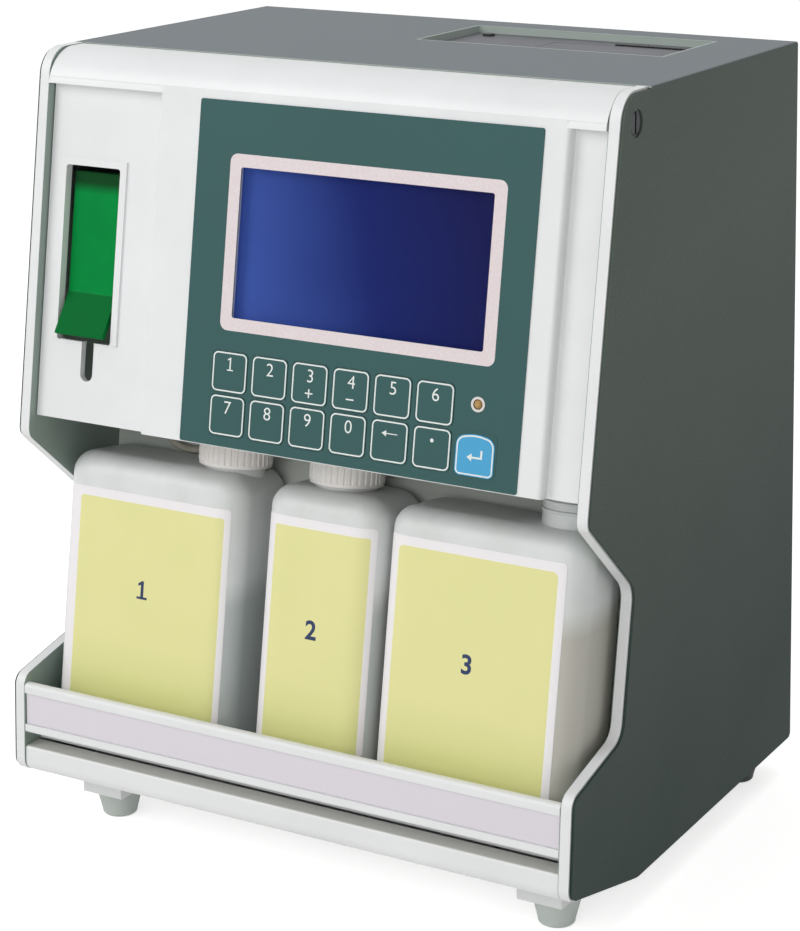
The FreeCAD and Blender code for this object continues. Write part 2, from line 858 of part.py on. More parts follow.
def make_cap(neck_x):
    """Ribbed screw cap with a hole for its tube."""
    foot = bottle_head_s + cap_lift
    head = bottle_head_s + neck_height + cap_top + 0.1
    valley = cap_radius - rib_depth
    step = 2 * math.pi / cap_ribs
    rim = []
    for i in range(cap_ribs):
        for share, radius in ((0.0, cap_radius), (0.42, cap_radius), (0.55, valley), (0.87, valley)):
            angle = (i + share) * step
            rim.append((radius * math.cos(angle), radius * math.sin(angle), 0))
    body = prism(rim, "xy", foot + 1.2, head)
    skirt = rod((0, 0, foot), (0, 0, foot + 1.2), cap_radius - 0.3)
    inside = rod((0, 0, foot - 1), (0, 0, head - cap_top), cap_radius - cap_wall)
    hole = rod((0, 0, foot), (0, 0, head + 1), tube_radius + tube_hole_clearance)
    cap = fuse([body, skirt]).cut(inside).cut(hole)
    cap.translate(V(neck_x, neck_d, 0))
    return lean(cap)


def make_label(centre_x, width, left, right, head_s):
    """Paper label wrapped over a bottle's front and the start of its corners."""
    x0 = centre_x - width / 2 + left
    x1 = centre_x + width / 2 - right
    foot_s = bottle_foot_s + label_foot
    w = width / 2
    depth = bottle_depth / 2
    layers = []
    for grow in (label_thickness, 0.0):
        a, b = w + grow, depth + grow
        r = bottle_corner + grow
        corners = [(-a, -b, r), (a, -b, r), (a, b, r), (-a, b, r)]
        layer = prism(corners, "xy", foot_s, head_s)
        layer.translate(V(centre_x, neck_d, 0))
        layers.append(layer)
    front = plate(x0, x1, foot_s, head_s, bottle_face_d - 1, bottle_face_d + bottle_corner, label_corner)
    return lean(layers[0].cut(layers[1]).common(front))


def band_profile():
    """Side section of the door's skin from its foot over the rounded top to the seam."""
    wall = door_wall
    top = top_z - 0.2
    outer_d = -block_proud
    inner_d = outer_d + wall
    foot_outer = at(outer_d, door_foot_s)
    foot_inner = at(inner_d, door_foot_s)
    head_outer = at(outer_d, s_at(outer_d, top))
    head_inner = at(inner_d, s_at(inner_d, top - wall))
    end_y = seam_y - seam_gap
    return [
        (foot_outer[0], foot_outer[1], 0), (foot_inner[0], foot_inner[1], 0),
        (head_inner[0], head_inner[1], band_radius - wall), (end_y, top - wall, 0),
        (end_y, top, 0), (head_outer[0], head_outer[1], band_radius)]


def make_front_door():
    """Flip-up front: proud centre block between two recesses under a full-width rounded band."""
    half = door_half
    back = recess_depth + door_wall
    front = -block_proud
    section = [
        (-half, recess_depth, 0), (block_left, recess_depth, 0.8), (block_left, front, 1.6),
        (block_right, front, 2.2), (block_right, recess_depth, 0.8), (half, recess_depth, 0),
        (half, skirt_depth, 0), (half - door_wall, skirt_depth, 0), (half - door_wall, back, 0),
        (block_right - door_wall, back, 0), (block_right - door_wall, front + door_wall, 0),
        (block_left + door_wall, front + door_wall, 0), (block_left + door_wall, back, 0),
        (-half + door_wall, back, 0), (-half + door_wall, skirt_depth, 0), (-half, skirt_depth, 0)]
    face = lean(prism(section, "xy", door_foot_s, band_s + door_wall))
    skin = prism(band_profile(), "yz", -half, half)
    above = lean(slab(-half - 1, half + 1, -20, 80, band_s, s_at(0, top_z) + 60))
    band = skin.common(above)
    ledge = lean(slab(-half, half, -block_proud + 0.4, back, band_s, band_s + door_wall))
    foot_lip = lean(fuse([
        slab(-half, half, recess_depth + 0.5, skirt_depth, door_foot_s, door_foot_s + door_wall),
        slab(block_left + 1, block_right - 1, front + 1.0, skirt_depth,
             door_foot_s, door_foot_s + door_wall)]))
    y, z = hinge_centre()
    ears = []
    for side in (-1, 1):
        x_out = side * half
        x_in = side * (half - door_wall)
        boss = rod((x_out, y, z), (side * (half - hinge_boss_length), y, z), hinge_boss_radius)
        low, high = min(x_out, x_in), max(x_out, x_in)
        web = lean(slab(low, high, 3.0, 18.0, band_s - 30.0, band_s + 4.0))
        ears.extend([boss, web])
    shell = fuse([face, band, ledge, foot_lip] + ears)
    bosses = []
    for x, s in board_boss_places():
        bosses.append(rod((x, front + door_wall - 0.2, s), (x, keypad_d, s), door_boss_radius))
    for x, s in display_boss_places():
        bosses.append(rod((x, front + door_wall - 0.2, s), (x, display_back_d, s), door_boss_radius))
    window_left = window_x - window_width / 2
    window_right = window_x + window_width / 2
    rim = slab(window_left - window_rim, window_right + window_rim, recess_depth - rim_height,
               recess_depth + 0.1, window_foot_s, window_head_s + window_rim)
    shell = fuse([shell] + [lean(b) for b in bosses] + [lean(rim)])
    lens_w = display_width / 2 + lens_margin + lens_gap
    lens_h = display_height / 2 + lens_margin + lens_gap
    cuts = [
        plate(window_left, window_right, window_foot_s, window_head_s, -6, back + 4, 1.2),
        plate(slot_x - slot_width / 2, slot_x + slot_width / 2, slot_foot_s, window_foot_s + 2,
              -6, back + 4, slot_width / 2 - 0.05),
        plate(display_x - lens_w, display_x + lens_w, display_s - lens_h, display_s + lens_h,
              -6, front + door_wall + 1, 1.5)]
    pocket_d = front + key_travel + key_thickness + pocket_gap
    reach = key_size / 2 + 3 * key_gap
    left = first_key_x - reach
    low_s = key_row_s[1]
    high_s = key_row_s[0]
    step_s = low_s + reach - key_gap
    cuts.append(slab(left, key_centre(1, 6)[0] + reach, front - 1, pocket_d, low_s - reach, step_s))
    cuts.append(slab(left, key_centre(0, 5)[0] + reach, front - 1, pocket_d, low_s, high_s + reach))
    for _, x, s in key_places():
        cuts.append(rod((x, -6, s), (x, back + 1, s), key_stem_radius + key_stem_clearance))
    cuts.append(rod((led_x, -6, led_s), (led_x, back + 1, led_s), led_radius + led_clearance))
    shell = shell.cut(lean(fuse(cuts)))
    pins = []
    for side in (-1, 1):
        pins.append(rod((side * (half + 1), y, z), (side * (half - hinge_boss_length - 1), y, z),
                        hinge_radius + running_fit))
    return shell.cut(fuse(pins))


def key_centre(row, column):
    """X and s of a key."""
    return first_key_x + column * key_pitch_x, key_row_s[row]


def key_places():
    """Name and centre of each key, row by row."""
    names = (("1", "2", "3", "4", "5", "6"), ("7", "8", "9", "0", "back", "dot", "enter"))
    places = []
    for row, row_names in enumerate(names):
        for column, label in enumerate(row_names):
            x, s = key_centre(row, column)
            places.append(("key_" + label, x, s))
    return places


def board_boss_places():
    """Corners where the keypad board is screwed down."""
    inset = board_screw_inset
    return [(x, s) for x in (keypad_left + inset, keypad_right - inset)
            for s in (keypad_foot_s + inset, keypad_head_s - inset)]


def display_boss_places():
    """Corners where the display board is screwed down."""
    w = display_board_width / 2 - board_screw_inset
    h = display_board_height / 2 - board_screw_inset
    return [(display_x + i * w, display_s + j * h) for i in (-1, 1) for j in (-1, 1)]


def make_overlay():
    """Printed film on the block, cut out for the display, the keys and the lamp."""
    face = plate(overlay_left, overlay_right, overlay_foot_s, overlay_head_s,
                 -block_proud - film, -block_proud, 1.0)
    cuts = [plate(display_x - display_width / 2, display_x + display_width / 2,
                  display_s - display_height / 2, display_s + display_height / 2, -6, 6, 1.0)]
    hole = key_size / 2 + key_gap
    for _, x, s in key_places():
        cuts.append(plate(x - hole, x + hole, s - hole, s + hole, -6, 6, key_radius + key_gap))
    cuts.append(rod((led_x, -6, led_s), (led_x, 6, led_s), led_radius + led_clearance))
    for cut in cuts:
        face = face.cut(cut)
    return lean(face)


def make_key(x, s, arched):
    """One key pad with its stem, set in the film and reaching the switch behind."""
    h = key_size / 2
    face_d = -block_proud - film - key_proud
    if arched:
        corners = [(x - h, s - h, key_radius), (x + h, s - h, key_radius), (x + h, s + h - 1.6, 4.0),
                   (x, s + h, 18.0), (x - h, s + h - 1.6, 4.0)]
    else:
        corners = [(x - h, s - h, key_radius), (x + h, s - h, key_radius),
                   (x + h, s + h, key_radius), (x - h, s + h, key_radius)]
    pad = prism(corners, "xz", face_d, face_d + key_thickness)
    stem = rod((x, face_d + key_thickness - 0.1, s), (x, stem_end_d, s), key_stem_radius)
    return lean(fuse([pad, stem]))


def make_lens():
    """Clear window over the display."""
    w = display_width / 2 + lens_margin
    h = display_height / 2 + lens_margin
    return lean(plate(display_x - w, display_x + w, display_s - h, display_s + h,
                      -block_proud, -block_proud + lens_thickness, 1.4))


def make_display():
    """Graphic display: glass in a metal bezel on its board."""
    w = display_width / 2 + 8.0
    h = display_height / 2 + 6.6
    bezel = plate(display_x - w, display_x + w, display_s - h, display_s + h,
                  display_face_d, display_back_d, 1.0)
    view = plate(display_x - display_width / 2 - 1, display_x + display_width / 2 + 1,
                 display_s - display_height / 2 - 1, display_s + display_height / 2 + 1,
                 display_face_d - 1, display_face_d + 0.8, 0.5)
    board = slab(display_x - display_board_width / 2, display_x + display_board_width / 2,
                 display_back_d, display_back_d + board_thickness,
                 display_s - display_board_height / 2, display_s + display_board_height / 2)
    return lean(fuse([bezel.cut(view), board]))


def make_keypad_board():
    """Board with thirteen switches and the lamp's socket."""
    board = slab(keypad_left, keypad_right, keypad_d, keypad_d + board_thickness,
                 keypad_foot_s, keypad_head_s)
    w = keypad_switch / 2
    switches = []
    for _, x, s in key_places():
        switches.append(slab(x - w, x + w, stem_end_d + key_travel + switch_gap, keypad_d, s - w, s + w))
    return lean(fuse([board] + switches))


def make_status_led():
    """Indicator lamp standing on the keypad board."""
    tip = rod((led_x, -block_proud - 0.1, led_s), (led_x, 3.0, led_s), led_radius)
    collar = rod((led_x, 3.0, led_s), (led_x, keypad_d, led_s), led_radius + 0.4)
    dome = Part.makeSphere(led_radius, V(led_x, -block_proud + 0.2, led_s))
    front = slab(led_x - 4, led_x + 4, -block_proud - 1.3, 0, led_s - 4, led_s + 4)
    return lean(fuse([tip, collar, dome.common(front)]))


def lever_corners(thickness):
    """Side section of the lever, from its head down to the flared lip."""
    face = lever_face_d
    lip_face = face - lever_lip_reach
    return [
        (face, lever_head_s, 1.0), (face, lever_bend_s, 3.0), (lip_face, lever_lip_s, 0.6),
        (lip_face + thickness * 1.05, lever_lip_s - 0.6, 0.6), (face + thickness, lever_bend_s - 0.8, 3.0),
        (face + thickness, lever_head_s, 0.4)]


def make_lever():
    """Sampling flap: plate with a flared lip, hung from its pin by two lugs, with the probe holder."""
    x0 = window_x - lever_width / 2
    x1 = window_x + lever_width / 2
    flap = prism(lever_corners(lever_wall), "yz", x0, x1)
    lugs = []
    for low, high in ((x0, x0 + lug_width), (x1 - lug_width, x1)):
        lugs.append(prism(
            [(lever_face_d + 0.5, lever_pin_s + 3.6, 1.0), (lever_face_d + 0.5, lever_pin_s - 14.0, 1.0),
             (lever_pin_d + 3.6, lever_pin_s - 3.6, 3.0), (lever_pin_d + 3.6, lever_pin_s + 3.6, 3.0)],
            "yz", low, high))
    holder = slab(slot_x - holder_width / 2, slot_x + holder_width / 2, lever_face_d + 1.0, probe_d + 3.0,
                  holder_foot_s, holder_head_s)
    bore = rod((x0 - 1, lever_pin_d, lever_pin_s), (x1 + 1, lever_pin_d, lever_pin_s),
               lever_pin_radius + running_fit)
    hole = rod((slot_x, probe_d, holder_foot_s - 1), (slot_x, probe_d, holder_head_s + 1), probe_radius)
    return lean(fuse([flap] + lugs + [holder]).cut(bore).cut(hole))


def make_probe():
    """Steel sampling needle held by the lever."""
    return lean(rod((slot_x, probe_d, probe_foot_s), (slot_x, probe_d, probe_head_s), probe_radius))


def make_sampler_bracket():
    """Bent bracket from the inner panel to the lever's pin."""
    parts = []
    inner = lever_width / 2 + bracket_gap
    foot_s = lever_pin_s - 16.0
    head_s = lever_pin_s + 10.0
    for side in (-1, 1):
        x_in = window_x + side * inner
        x_out = x_in + side * bracket_wall
        low, high = min(x_in, x_out), max(x_in, x_out)
        parts.append(prism(
            [(lever_pin_d - 4.0, lever_pin_s - 5.0, 3.5), (panel_d, foot_s, 0), (panel_d, head_s, 0),
             (lever_pin_d - 4.0, lever_pin_s + 5.0, 3.5)],
            "yz", low, high))
    reach = inner + bracket_wall
    parts.append(slab(window_x - reach, window_x + reach, panel_d - bracket_wall, panel_d, foot_s, head_s))
    pin_hole = rod((window_x - reach - 1, lever_pin_d, lever_pin_s),
                   (window_x + reach + 1, lever_pin_d, lever_pin_s), lever_pin_radius)
    return lean(fuse(parts).cut(pin_hole))


def make_lever_pin():
    """Pin that the lever swings on."""
    reach = lever_width / 2 + bracket_gap + bracket_wall + 0.5
    left = (window_x - reach, lever_pin_d, lever_pin_s)
    right = (window_x + reach, lever_pin_d, lever_pin_s)
    return lean(rod(left, right, lever_pin_radius))


def make_pump():
    """Peristaltic pump: head with a round track in front of the panel, motor behind it."""
    x, s = pump_x, pump_s
    half = pump_size / 2
    front = panel_d - pump_depth
    floor_d = panel_d - pump_floor
    back = panel_d + panel_thickness
    head = plate(x - half, x + half, s - half, s + half, front, panel_d, 4.0)
    track = rod((x, front - 1, s), (x, floor_d, s), pump_track_radius)
    gate = slab(x - pump_track_radius, x + pump_track_radius, front - 1, floor_d, s - half - 1, s)
    motor = rod((x, back, s), (x, back + motor_length, s), motor_radius)
    shaft = rod((x, front + 3.0, s), (x, back + 1.0, s), shaft_radius)
    return lean(fuse([head.cut(track).cut(gate), motor, shaft]))


def roller_places():
    """X and s of the rollers round the pump's shaft."""
    places = []
    for i in range(roller_count):
        turn = math.pi / 2 + 2 * math.pi * i / roller_count
        places.append((pump_x + roller_circle * math.cos(turn), pump_s + roller_circle * math.sin(turn)))
    return places


def make_pump_rotor():
    """Rotor with two discs and the posts that its rollers turn on."""
    x, s = pump_x, pump_s
    front = panel_d - pump_depth + 1.0
    back = panel_d - pump_floor - 0.6
    parts = [
        rod((x, front, s), (x, front + rotor_plate, s), rotor_radius),
        rod((x, back - rotor_back_plate, s), (x, back, s), rotor_radius),
        rod((x, front, s), (x, back, s), shaft_radius + 2.1)]
    for px, ps in roller_places():
        parts.append(rod((px, front + 1.0, ps), (px, back - 1.0, ps), roller_pin_radius))
    bore = rod((x, front - 1, s), (x, back + 1, s), shaft_radius + running_fit)
    return lean(fuse(parts).cut(bore))


def make_pump_rollers():
    """Rollers that squeeze the tube against the track."""
    front = panel_d - pump_depth + 1.0 + rotor_plate + running_gap
    back = panel_d - pump_floor - 0.6 - rotor_back_plate - running_gap
    rollers = []
    for px, ps in roller_places():
        body = rod((px, front, ps), (px, back, ps), roller_radius)
        rollers.append(lean(body.cut(rod((px, front - 1, ps), (px, back + 1, ps), roller_pin_radius))))
    return rollers


def make_electrodes():
    """Row of flow-through electrodes and their rack."""
    blocks = []
    front = panel_d - electrode_depth
    x_first = electrode_x - (electrode_count - 1) * electrode_pitch / 2
    w = (electrode_pitch - electrode_gap) / 2
    for i in range(electrode_count):
        x = x_first + i * electrode_pitch
        body = plate(x - w, x + w, electrode_s - 12.0, electrode_s + 14.0, front, panel_d - rack_back, 1.5)
        stem = rod((x, front + 11.0, electrode_s + 13.0), (x, front + 11.0, electrode_s + 22.0), 4.0)
        window = rod((x, front - 1, electrode_s), (x, front + 1.5, electrode_s), 3.5)
        blocks.append(lean(fuse([body, stem]).cut(window)))
    reach = electrode_count * electrode_pitch / 2
    left = electrode_x - reach
    right = electrode_x + reach
    foot_s = electrode_s - rack_drop
    face = front - 1.0
    rack = [
        slab(left - rack_wall, right + rack_wall, panel_d - rack_back, panel_d,
             foot_s - 1.0, electrode_s + 18.0),
        slab(left - rack_wall, right + rack_wall, face, panel_d, foot_s, electrode_s - 12.0),
        slab(left - rack_wall, left, face, panel_d, foot_s, electrode_s + 10.0),
        slab(right, right + rack_wall, face, panel_d, foot_s, electrode_s + 10.0)]
    return lean(fuse(rack)), blocks


def leaning(points):
    """Points (x, d, s) turned into room points."""
    placed = []
    for x, d, s in points:
        y, z = at(d, s)
        placed.append((x, y, z))
    return placed


def make_calibrant_tube():
    """Draw tube from the left bottle's floor through its cap to the first electrode."""
    x = neck_positions()[0]
    fit_s = electrode_s - rack_drop
    return tube(leaning([
        (x - 4.0, neck_d + 2.0, bottle_foot_s + 8.0), (x - 2.0, neck_d + 1.0, -78.0), (x, neck_d, -38.0),
        (x, neck_d, 4.0), (x, neck_d + 0.3, 34.0), (x, fitting_d, 49.0), (x, fitting_d, fit_s)]),
        tube_radius, "calibrant_tube")


def make_slope_tube():
    """Draw tube from the middle bottle, behind the left cap, dipping beside it and up to the rack's end."""
    x = neck_positions()[1]
    behind_d = panel_d - 4.5
    end_x = electrode_x - electrode_count * electrode_pitch / 2 - rack_end
    return tube(leaning([
        (x + 4.0, neck_d + 2.0, bottle_foot_s + 8.0), (x + 2.0, neck_d + 1.0, -78.0), (x, neck_d, -38.0),
        (x, neck_d, 2.0), (x, neck_d + 0.3, 31.0), (x - 22.0, behind_d, 31.0), (x - 42.0, behind_d, 15.0),
        (x - 64.0, behind_d, 3.0), (x - 80.0, behind_d, -6.2), (x - 96.0, behind_d, -6.2),
        (x - 106.0, behind_d, 8.0), (x - 102.0, behind_d, 40.0), (end_x - 20.0, fitting_d, 66.0),
        (end_x - 9.0, fitting_d, fitting_s), (end_x, fitting_d, fitting_s)]), tube_radius, "slope_tube")


def track_points(d, radius):
    """Corners of the tube's way up round the pump's track, from its left side to its right."""
    step = math.pi / 4
    corner = radius / math.cos(step / 2)
    points = [(pump_x - radius, d, pump_s - 46.0)]
    for i in range(4):
        turn = math.pi - step * (i + 0.5)
        points.append((pump_x + corner * math.cos(turn), d, pump_s + corner * math.sin(turn)))
    points.append((pump_x + radius, d, pump_s - 36.0))
    return points


def make_waste_tube():
    """Tube from the rack's outlet, up round the pump's track and down into the waste bottle."""
    x = neck_positions()[2]
    start_x = electrode_x + electrode_count * electrode_pitch / 2 + rack_end
    radius = pump_track_radius - tube_radius - 0.4
    drop = pump_x - radius - pump_loop_width
    d = panel_d - pump_depth / 2 - 1.0
    return tube(leaning([
        (start_x, fitting_d, fitting_s), (start_x + 10.0, fitting_d, fitting_s), (drop - 1.0, d, 62.0),
        (drop, d, 46.0), (drop, d, pump_s - 46.0)] + track_points(d, radius)
        + [(x, neck_d, 16.0), (x, neck_d, -14.0)]), tube_radius, "waste_tube")


def make_main_board():
    """Control board with its larger chips, on the floor's standoffs."""
    top = board_z + board_thickness
    parts = [slab(board_x0, board_x1, board_y0, board_y1, board_z, top)]
    for x, y, wide, deep, high in (
            (20, 60, 22, 22, 2.4), (60, 30, 14, 30, 3.0), (100, 70, 26, 12, 9.0), (90, 110, 40, 9, 8.0)):
        parts.append(slab(board_x0 + x, board_x0 + x + wide, board_y0 + y, board_y0 + y + deep,
                          board_z + 1.0, top + high))
    return fuse(parts)


def board_corners():
    """Places of the board's standoffs."""
    inset = board_hole_inset
    return [(x, y) for x in (board_x0 + inset, board_x1 - inset)
            for y in (board_y0 + inset, board_y1 - inset)]


def make_power_supply():
    """Boxed supply on the floor, with rows of air slots in its lid."""
    z0 = ground_gap + sheet
    body = slab(supply_x0, supply_x1, supply_y0, supply_y1, z0, z0 + supply_height)
    slots = []
    top = z0 + supply_height
    for i in range(supply_slots):
        y = supply_y0 + 12.0 + i * supply_slot_pitch
        slots.append(slab(supply_x0 + 10, supply_x1 - 10, y, y + supply_slot_width, top - 1.5, top + 1))
    return body.cut(fuse(slots))


def make_printer_housing():
    """Recessed deck in the top with the paper bucket, print head and tear bar under its lid."""
    z_deck = top_z - printer_recess
    z_under = z_deck - deck_thickness
    deck = slab(printer_left - deck_margin, printer_right + deck_margin - 0.5,
                printer_front_y - deck_margin, printer_rear_y + deck_margin, z_under, z_deck)
    left = lid_left - lid_gap
    right = lid_right + lid_gap
    w = bucket_wall
    bucket = prism(
        [(bucket_front_y - w, z_under, 0), (bucket_front_y - w, bucket_z, trough_radius + w),
         (bucket_rear_y + w, bucket_z, trough_radius + w), (bucket_rear_y + w, z_under, 0)],
        "yz", left - w, right + w)
    head = slab(left, right, bucket_rear_y, lid_rear_y + 6.0, z_deck - 14.0, z_under)
    hollow = prism(
        [(bucket_front_y, z_deck + 5, 0), (bucket_front_y, bucket_z + w, trough_radius),
         (bucket_rear_y, bucket_z + w, trough_radius), (bucket_rear_y, z_deck + 5, 0)],
        "yz", left, right)
    mouth = slab(left, right, lid_front_y - 1.2, lid_rear_y + lid_gap, z_deck - 12.0, z_deck + 5)
    body = fuse([deck, bucket, head]).cut(hollow.fuse(mouth))
    y, z = lid_axis
    bore = rod((left - 3, y, z), (right + 3, y, z), lid_pin_radius + running_fit)
    screw_x = printer_left + 9.0
    screw_y = printer_rear_y - 8.0
    screw = rod((screw_x, screw_y, z_deck - 0.2), (screw_x, screw_y, z_deck + 1.0), 2.6)
    return fuse([body, screw] + tear_bar(z_deck)).cut(bore)


def tear_bar(z_deck):
    """Bar behind the lid with a comb of small teeth that tears the paper."""
    back_y = lid_rear_y + 4.4
    root_y = back_y - 1.8
    tip_y = root_y - 1.4
    count = int((lid_right - tear_left) / tooth_width)
    low = z_deck - 0.2
    high = z_deck + 0.6
    bar = [slab(tear_left, tear_left + count * tooth_width, root_y, back_y, low, high)]
    for i in range(count):
        x = tear_left + i * tooth_width
        tooth = [(x, root_y, 0), (x + tooth_width, root_y, 0), (x + tooth_width / 2, tip_y, 0)]
        bar.append(prism(tooth, "xy", low, high))
    return bar


def make_printer_door():
    """Lid over the paper, hinged at its front edge, with two ears for the platen."""
    y, z = lid_axis
    z_deck = top_z - printer_recess
    lid = slab(lid_left, lid_right, y, lid_rear_y, z_deck - lid_thickness, z_deck)
    barrel = rod((lid_left, y, z), (lid_right, y, z), lid_barrel_radius)
    pins = [rod((lid_left - lid_gap - 1.4, y, z), (lid_left + 1, y, z), lid_pin_radius),
            rod((lid_right - 1, y, z), (lid_right + lid_gap + 1.4, y, z), lid_pin_radius)]
    ears = []
    py, pz = platen_axis
    for x in (lid_left, lid_right - ear_thickness):
        ears.append(rod((x, py, pz), (x + ear_thickness, py, pz), platen_radius - 0.6))
        ears.append(slab(x, x + ear_thickness, py - 3.0, py + 3.0, pz, z_deck - 1.0))
    rib = slab(lid_left, lid_right, py - 16.0, py - 14.0, z_deck - 4.0, z_deck - 1.0)
    bore = rod((lid_left - 5, py, pz), (lid_right + 5, py, pz), platen_shaft_radius + running_fit)
    return fuse([lid, barrel, rib] + pins + ears).cut(bore)


def make_platen():
    """Rubber-covered roller that feeds the paper."""
    y, z = platen_axis
    inner = ear_thickness + platen_gap
    return fuse([
        rod((lid_left + inner, y, z), (lid_right - inner, y, z), platen_radius),
        rod((lid_left + 0.2, y, z), (lid_right - 0.2, y, z), platen_shaft_radius)])


def make_paper_roll():
    """Roll of thermal paper lying in the bucket's trough."""
    centre_x = (lid_left + lid_right) / 2
    y = (bucket_front_y + bucket_rear_y) / 2
    z = bucket_z + bucket_wall + paper_radius
    roll = rod((centre_x - paper_width / 2, y, z), (centre_x + paper_width / 2, y, z), paper_radius)
    core = rod((centre_x - paper_width, y, z), (centre_x + paper_width, y, z), core_radius)
    return roll.cut(core)


def rear_screw_places():
    """X and height on the rear of the screws that hold the rear sheet to the cheeks."""
    return [(side * rear_screw_x, h) for side in (-1, 1) for h in rear_screw_heights]


def make_cover_screws():
    """Domed screws in the rear sheet, each with a crossed recess."""
    face = -rear_inset
    crown = face + screw_head_height
    recess = crown - 0.8
    screws = []
    for x, h in rear_screw_places():
        head = rod((x, face, h), (x, crown, h), screw_head_radius)
        rim = [e for e in head.Edges if e.BoundBox.YMin > crown - 0.1]
        head = head.makeChamfer(0.8, rim)
        cross = fuse([
            slab(x - 2.0, x + 2.0, recess, crown + 1, h - 0.4, h + 0.4),
            slab(x - 0.4, x + 0.4, recess, crown + 1, h - 2.0, h + 2.0)])
        shank = rod((x, face - screw_reach, h), (x, face, h), screw_radius)
        screws.append(lean_rear(fuse([head, shank]).cut(cross)))
    return screws


def neck_positions():
    """X of the three necks, left to right."""
    left = -big_bottle_x + big_bottle_width / 2 - big_neck_inset
    right = big_bottle_x + big_bottle_width / 2 - big_neck_inset
    return left, small_bottle_x - small_neck_offset, right


nodes = {}
os.makedirs("parts", exist_ok=True)

if __name__ == "__main__":
    save("outer_cover", [make_outer_cover()])
    cheek = make_cheek()
    save("right_cheek", [cheek])
    save("left_cheek", [mirror(cheek)])
    save("hinge_screws", make_hinge_screws())
    save("base_plate", [make_base_plate()])
    save("rubber_feet", make_rubber_feet())
    save("inner_panel", [make_inner_panel()])
    save("rear_panel", [make_rear_panel()])
    save("power_inlet", make_power_inlet())
    save("serial_port", make_serial_port())
    frame, rocker = make_power_switch()
    save("power_switch", [frame])
    save("power_rocker", [rocker])
    save("bottle_tray", [make_tray()])
    save("tray_strip", [make_tray_strip()])
    save("front_door", [make_front_door()])
    save("keypad_overlay", [make_overlay()])
    for name, x, s in key_places():
        save(name, [make_key(x, s, name == "key_enter")])
    save("lcd_window", [make_lens()])
    save("lcd_module", [make_display()])
    save("keypad_board", [make_keypad_board()])
    save("status_led", [make_status_led()])
    save("sample_lever", [make_lever()])
    save("sample_probe", [make_probe()])
    save("sampler_bracket", [make_sampler_bracket()])
    save("lever_pin", [make_lever_pin()])
    necks = neck_positions()
    widths = (big_bottle_width, small_bottle_width, big_bottle_width)
    centres = (-big_bottle_x, small_bottle_x, big_bottle_x)
    for name, centre, width, neck in zip(("calibrant", "slope", "waste"), centres, widths, necks):
        save(name + "_bottle", [make_bottle(centre, width, neck - centre)])
    save("calibrant_label", [make_label(centres[0], widths[0], 4.0, 4.0, -20.8)])
    save("slope_label", [make_label(centres[1], widths[1], 2.0, 2.0, -18.5)])
    save("waste_label", [make_label(centres[2], widths[2], 1.5, 7.4, -18.0)])
    save("calibrant_cap", [make_cap(necks[0])])
    save("slope_cap", [make_cap(necks[1])])
    save("pump_body", [make_pump()])
    save("pump_rotor", [make_pump_rotor()])
    save("pump_rollers", make_pump_rollers())
    rack, blocks = make_electrodes()
    save("electrode_rack", [rack])
    save("electrodes", blocks)
    save("calibrant_tube", [make_calibrant_tube()])
    save("slope_tube", [make_slope_tube()])
    save("waste_tube", [make_waste_tube()])
    save("main_board", [make_main_board()])
    save("power_supply", [make_power_supply()])
    save("printer_housing", [make_printer_housing()])
    save("printer_door", [make_printer_door()])
    save("platen_roller", [make_platen()])
    save("paper_roll", [make_paper_roll()])
    save("cover_screws", make_cover_screws())
    print(len(nodes), "nodes")
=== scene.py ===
"""Looks of a bench-top electrolyte analyzer.

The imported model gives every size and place. This script adds finishes, printed faces and small
trim, lights the object softly and looks at it from the front right, a little from above.
"""

from __future__ import annotations

import json
import logging
import math
from dataclasses import dataclass, field
from enum import Enum
from typing import Any, Iterable, Protocol, Sequence, Union

import bmesh
import bpy
from mathutils import Matrix, Vector

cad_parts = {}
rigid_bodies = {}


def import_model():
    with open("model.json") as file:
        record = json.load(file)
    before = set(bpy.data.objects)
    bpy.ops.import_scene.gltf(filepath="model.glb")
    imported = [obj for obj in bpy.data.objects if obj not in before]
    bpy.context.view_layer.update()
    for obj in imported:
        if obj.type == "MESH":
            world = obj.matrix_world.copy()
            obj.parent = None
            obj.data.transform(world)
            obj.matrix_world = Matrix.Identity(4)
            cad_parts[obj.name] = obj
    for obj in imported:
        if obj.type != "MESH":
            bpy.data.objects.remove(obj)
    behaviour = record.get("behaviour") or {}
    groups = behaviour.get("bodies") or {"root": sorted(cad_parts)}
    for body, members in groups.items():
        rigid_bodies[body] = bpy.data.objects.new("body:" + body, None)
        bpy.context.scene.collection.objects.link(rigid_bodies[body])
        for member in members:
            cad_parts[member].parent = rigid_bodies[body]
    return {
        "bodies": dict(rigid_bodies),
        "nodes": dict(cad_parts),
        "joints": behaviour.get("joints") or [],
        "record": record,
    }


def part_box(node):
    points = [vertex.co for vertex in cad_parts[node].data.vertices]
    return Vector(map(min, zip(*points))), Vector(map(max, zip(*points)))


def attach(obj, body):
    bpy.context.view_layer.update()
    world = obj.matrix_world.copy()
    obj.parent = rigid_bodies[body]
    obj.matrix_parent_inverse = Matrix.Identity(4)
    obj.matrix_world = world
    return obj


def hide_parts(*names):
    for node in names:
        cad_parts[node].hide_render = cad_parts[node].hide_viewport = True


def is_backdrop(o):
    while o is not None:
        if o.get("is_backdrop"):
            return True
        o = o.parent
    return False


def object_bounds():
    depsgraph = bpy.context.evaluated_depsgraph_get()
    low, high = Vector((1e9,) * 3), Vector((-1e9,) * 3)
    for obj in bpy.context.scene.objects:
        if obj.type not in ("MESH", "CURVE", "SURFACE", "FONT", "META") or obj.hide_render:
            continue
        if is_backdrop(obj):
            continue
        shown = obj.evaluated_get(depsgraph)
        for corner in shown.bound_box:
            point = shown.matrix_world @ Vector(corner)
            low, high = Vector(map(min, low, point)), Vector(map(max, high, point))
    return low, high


MM = 0.001
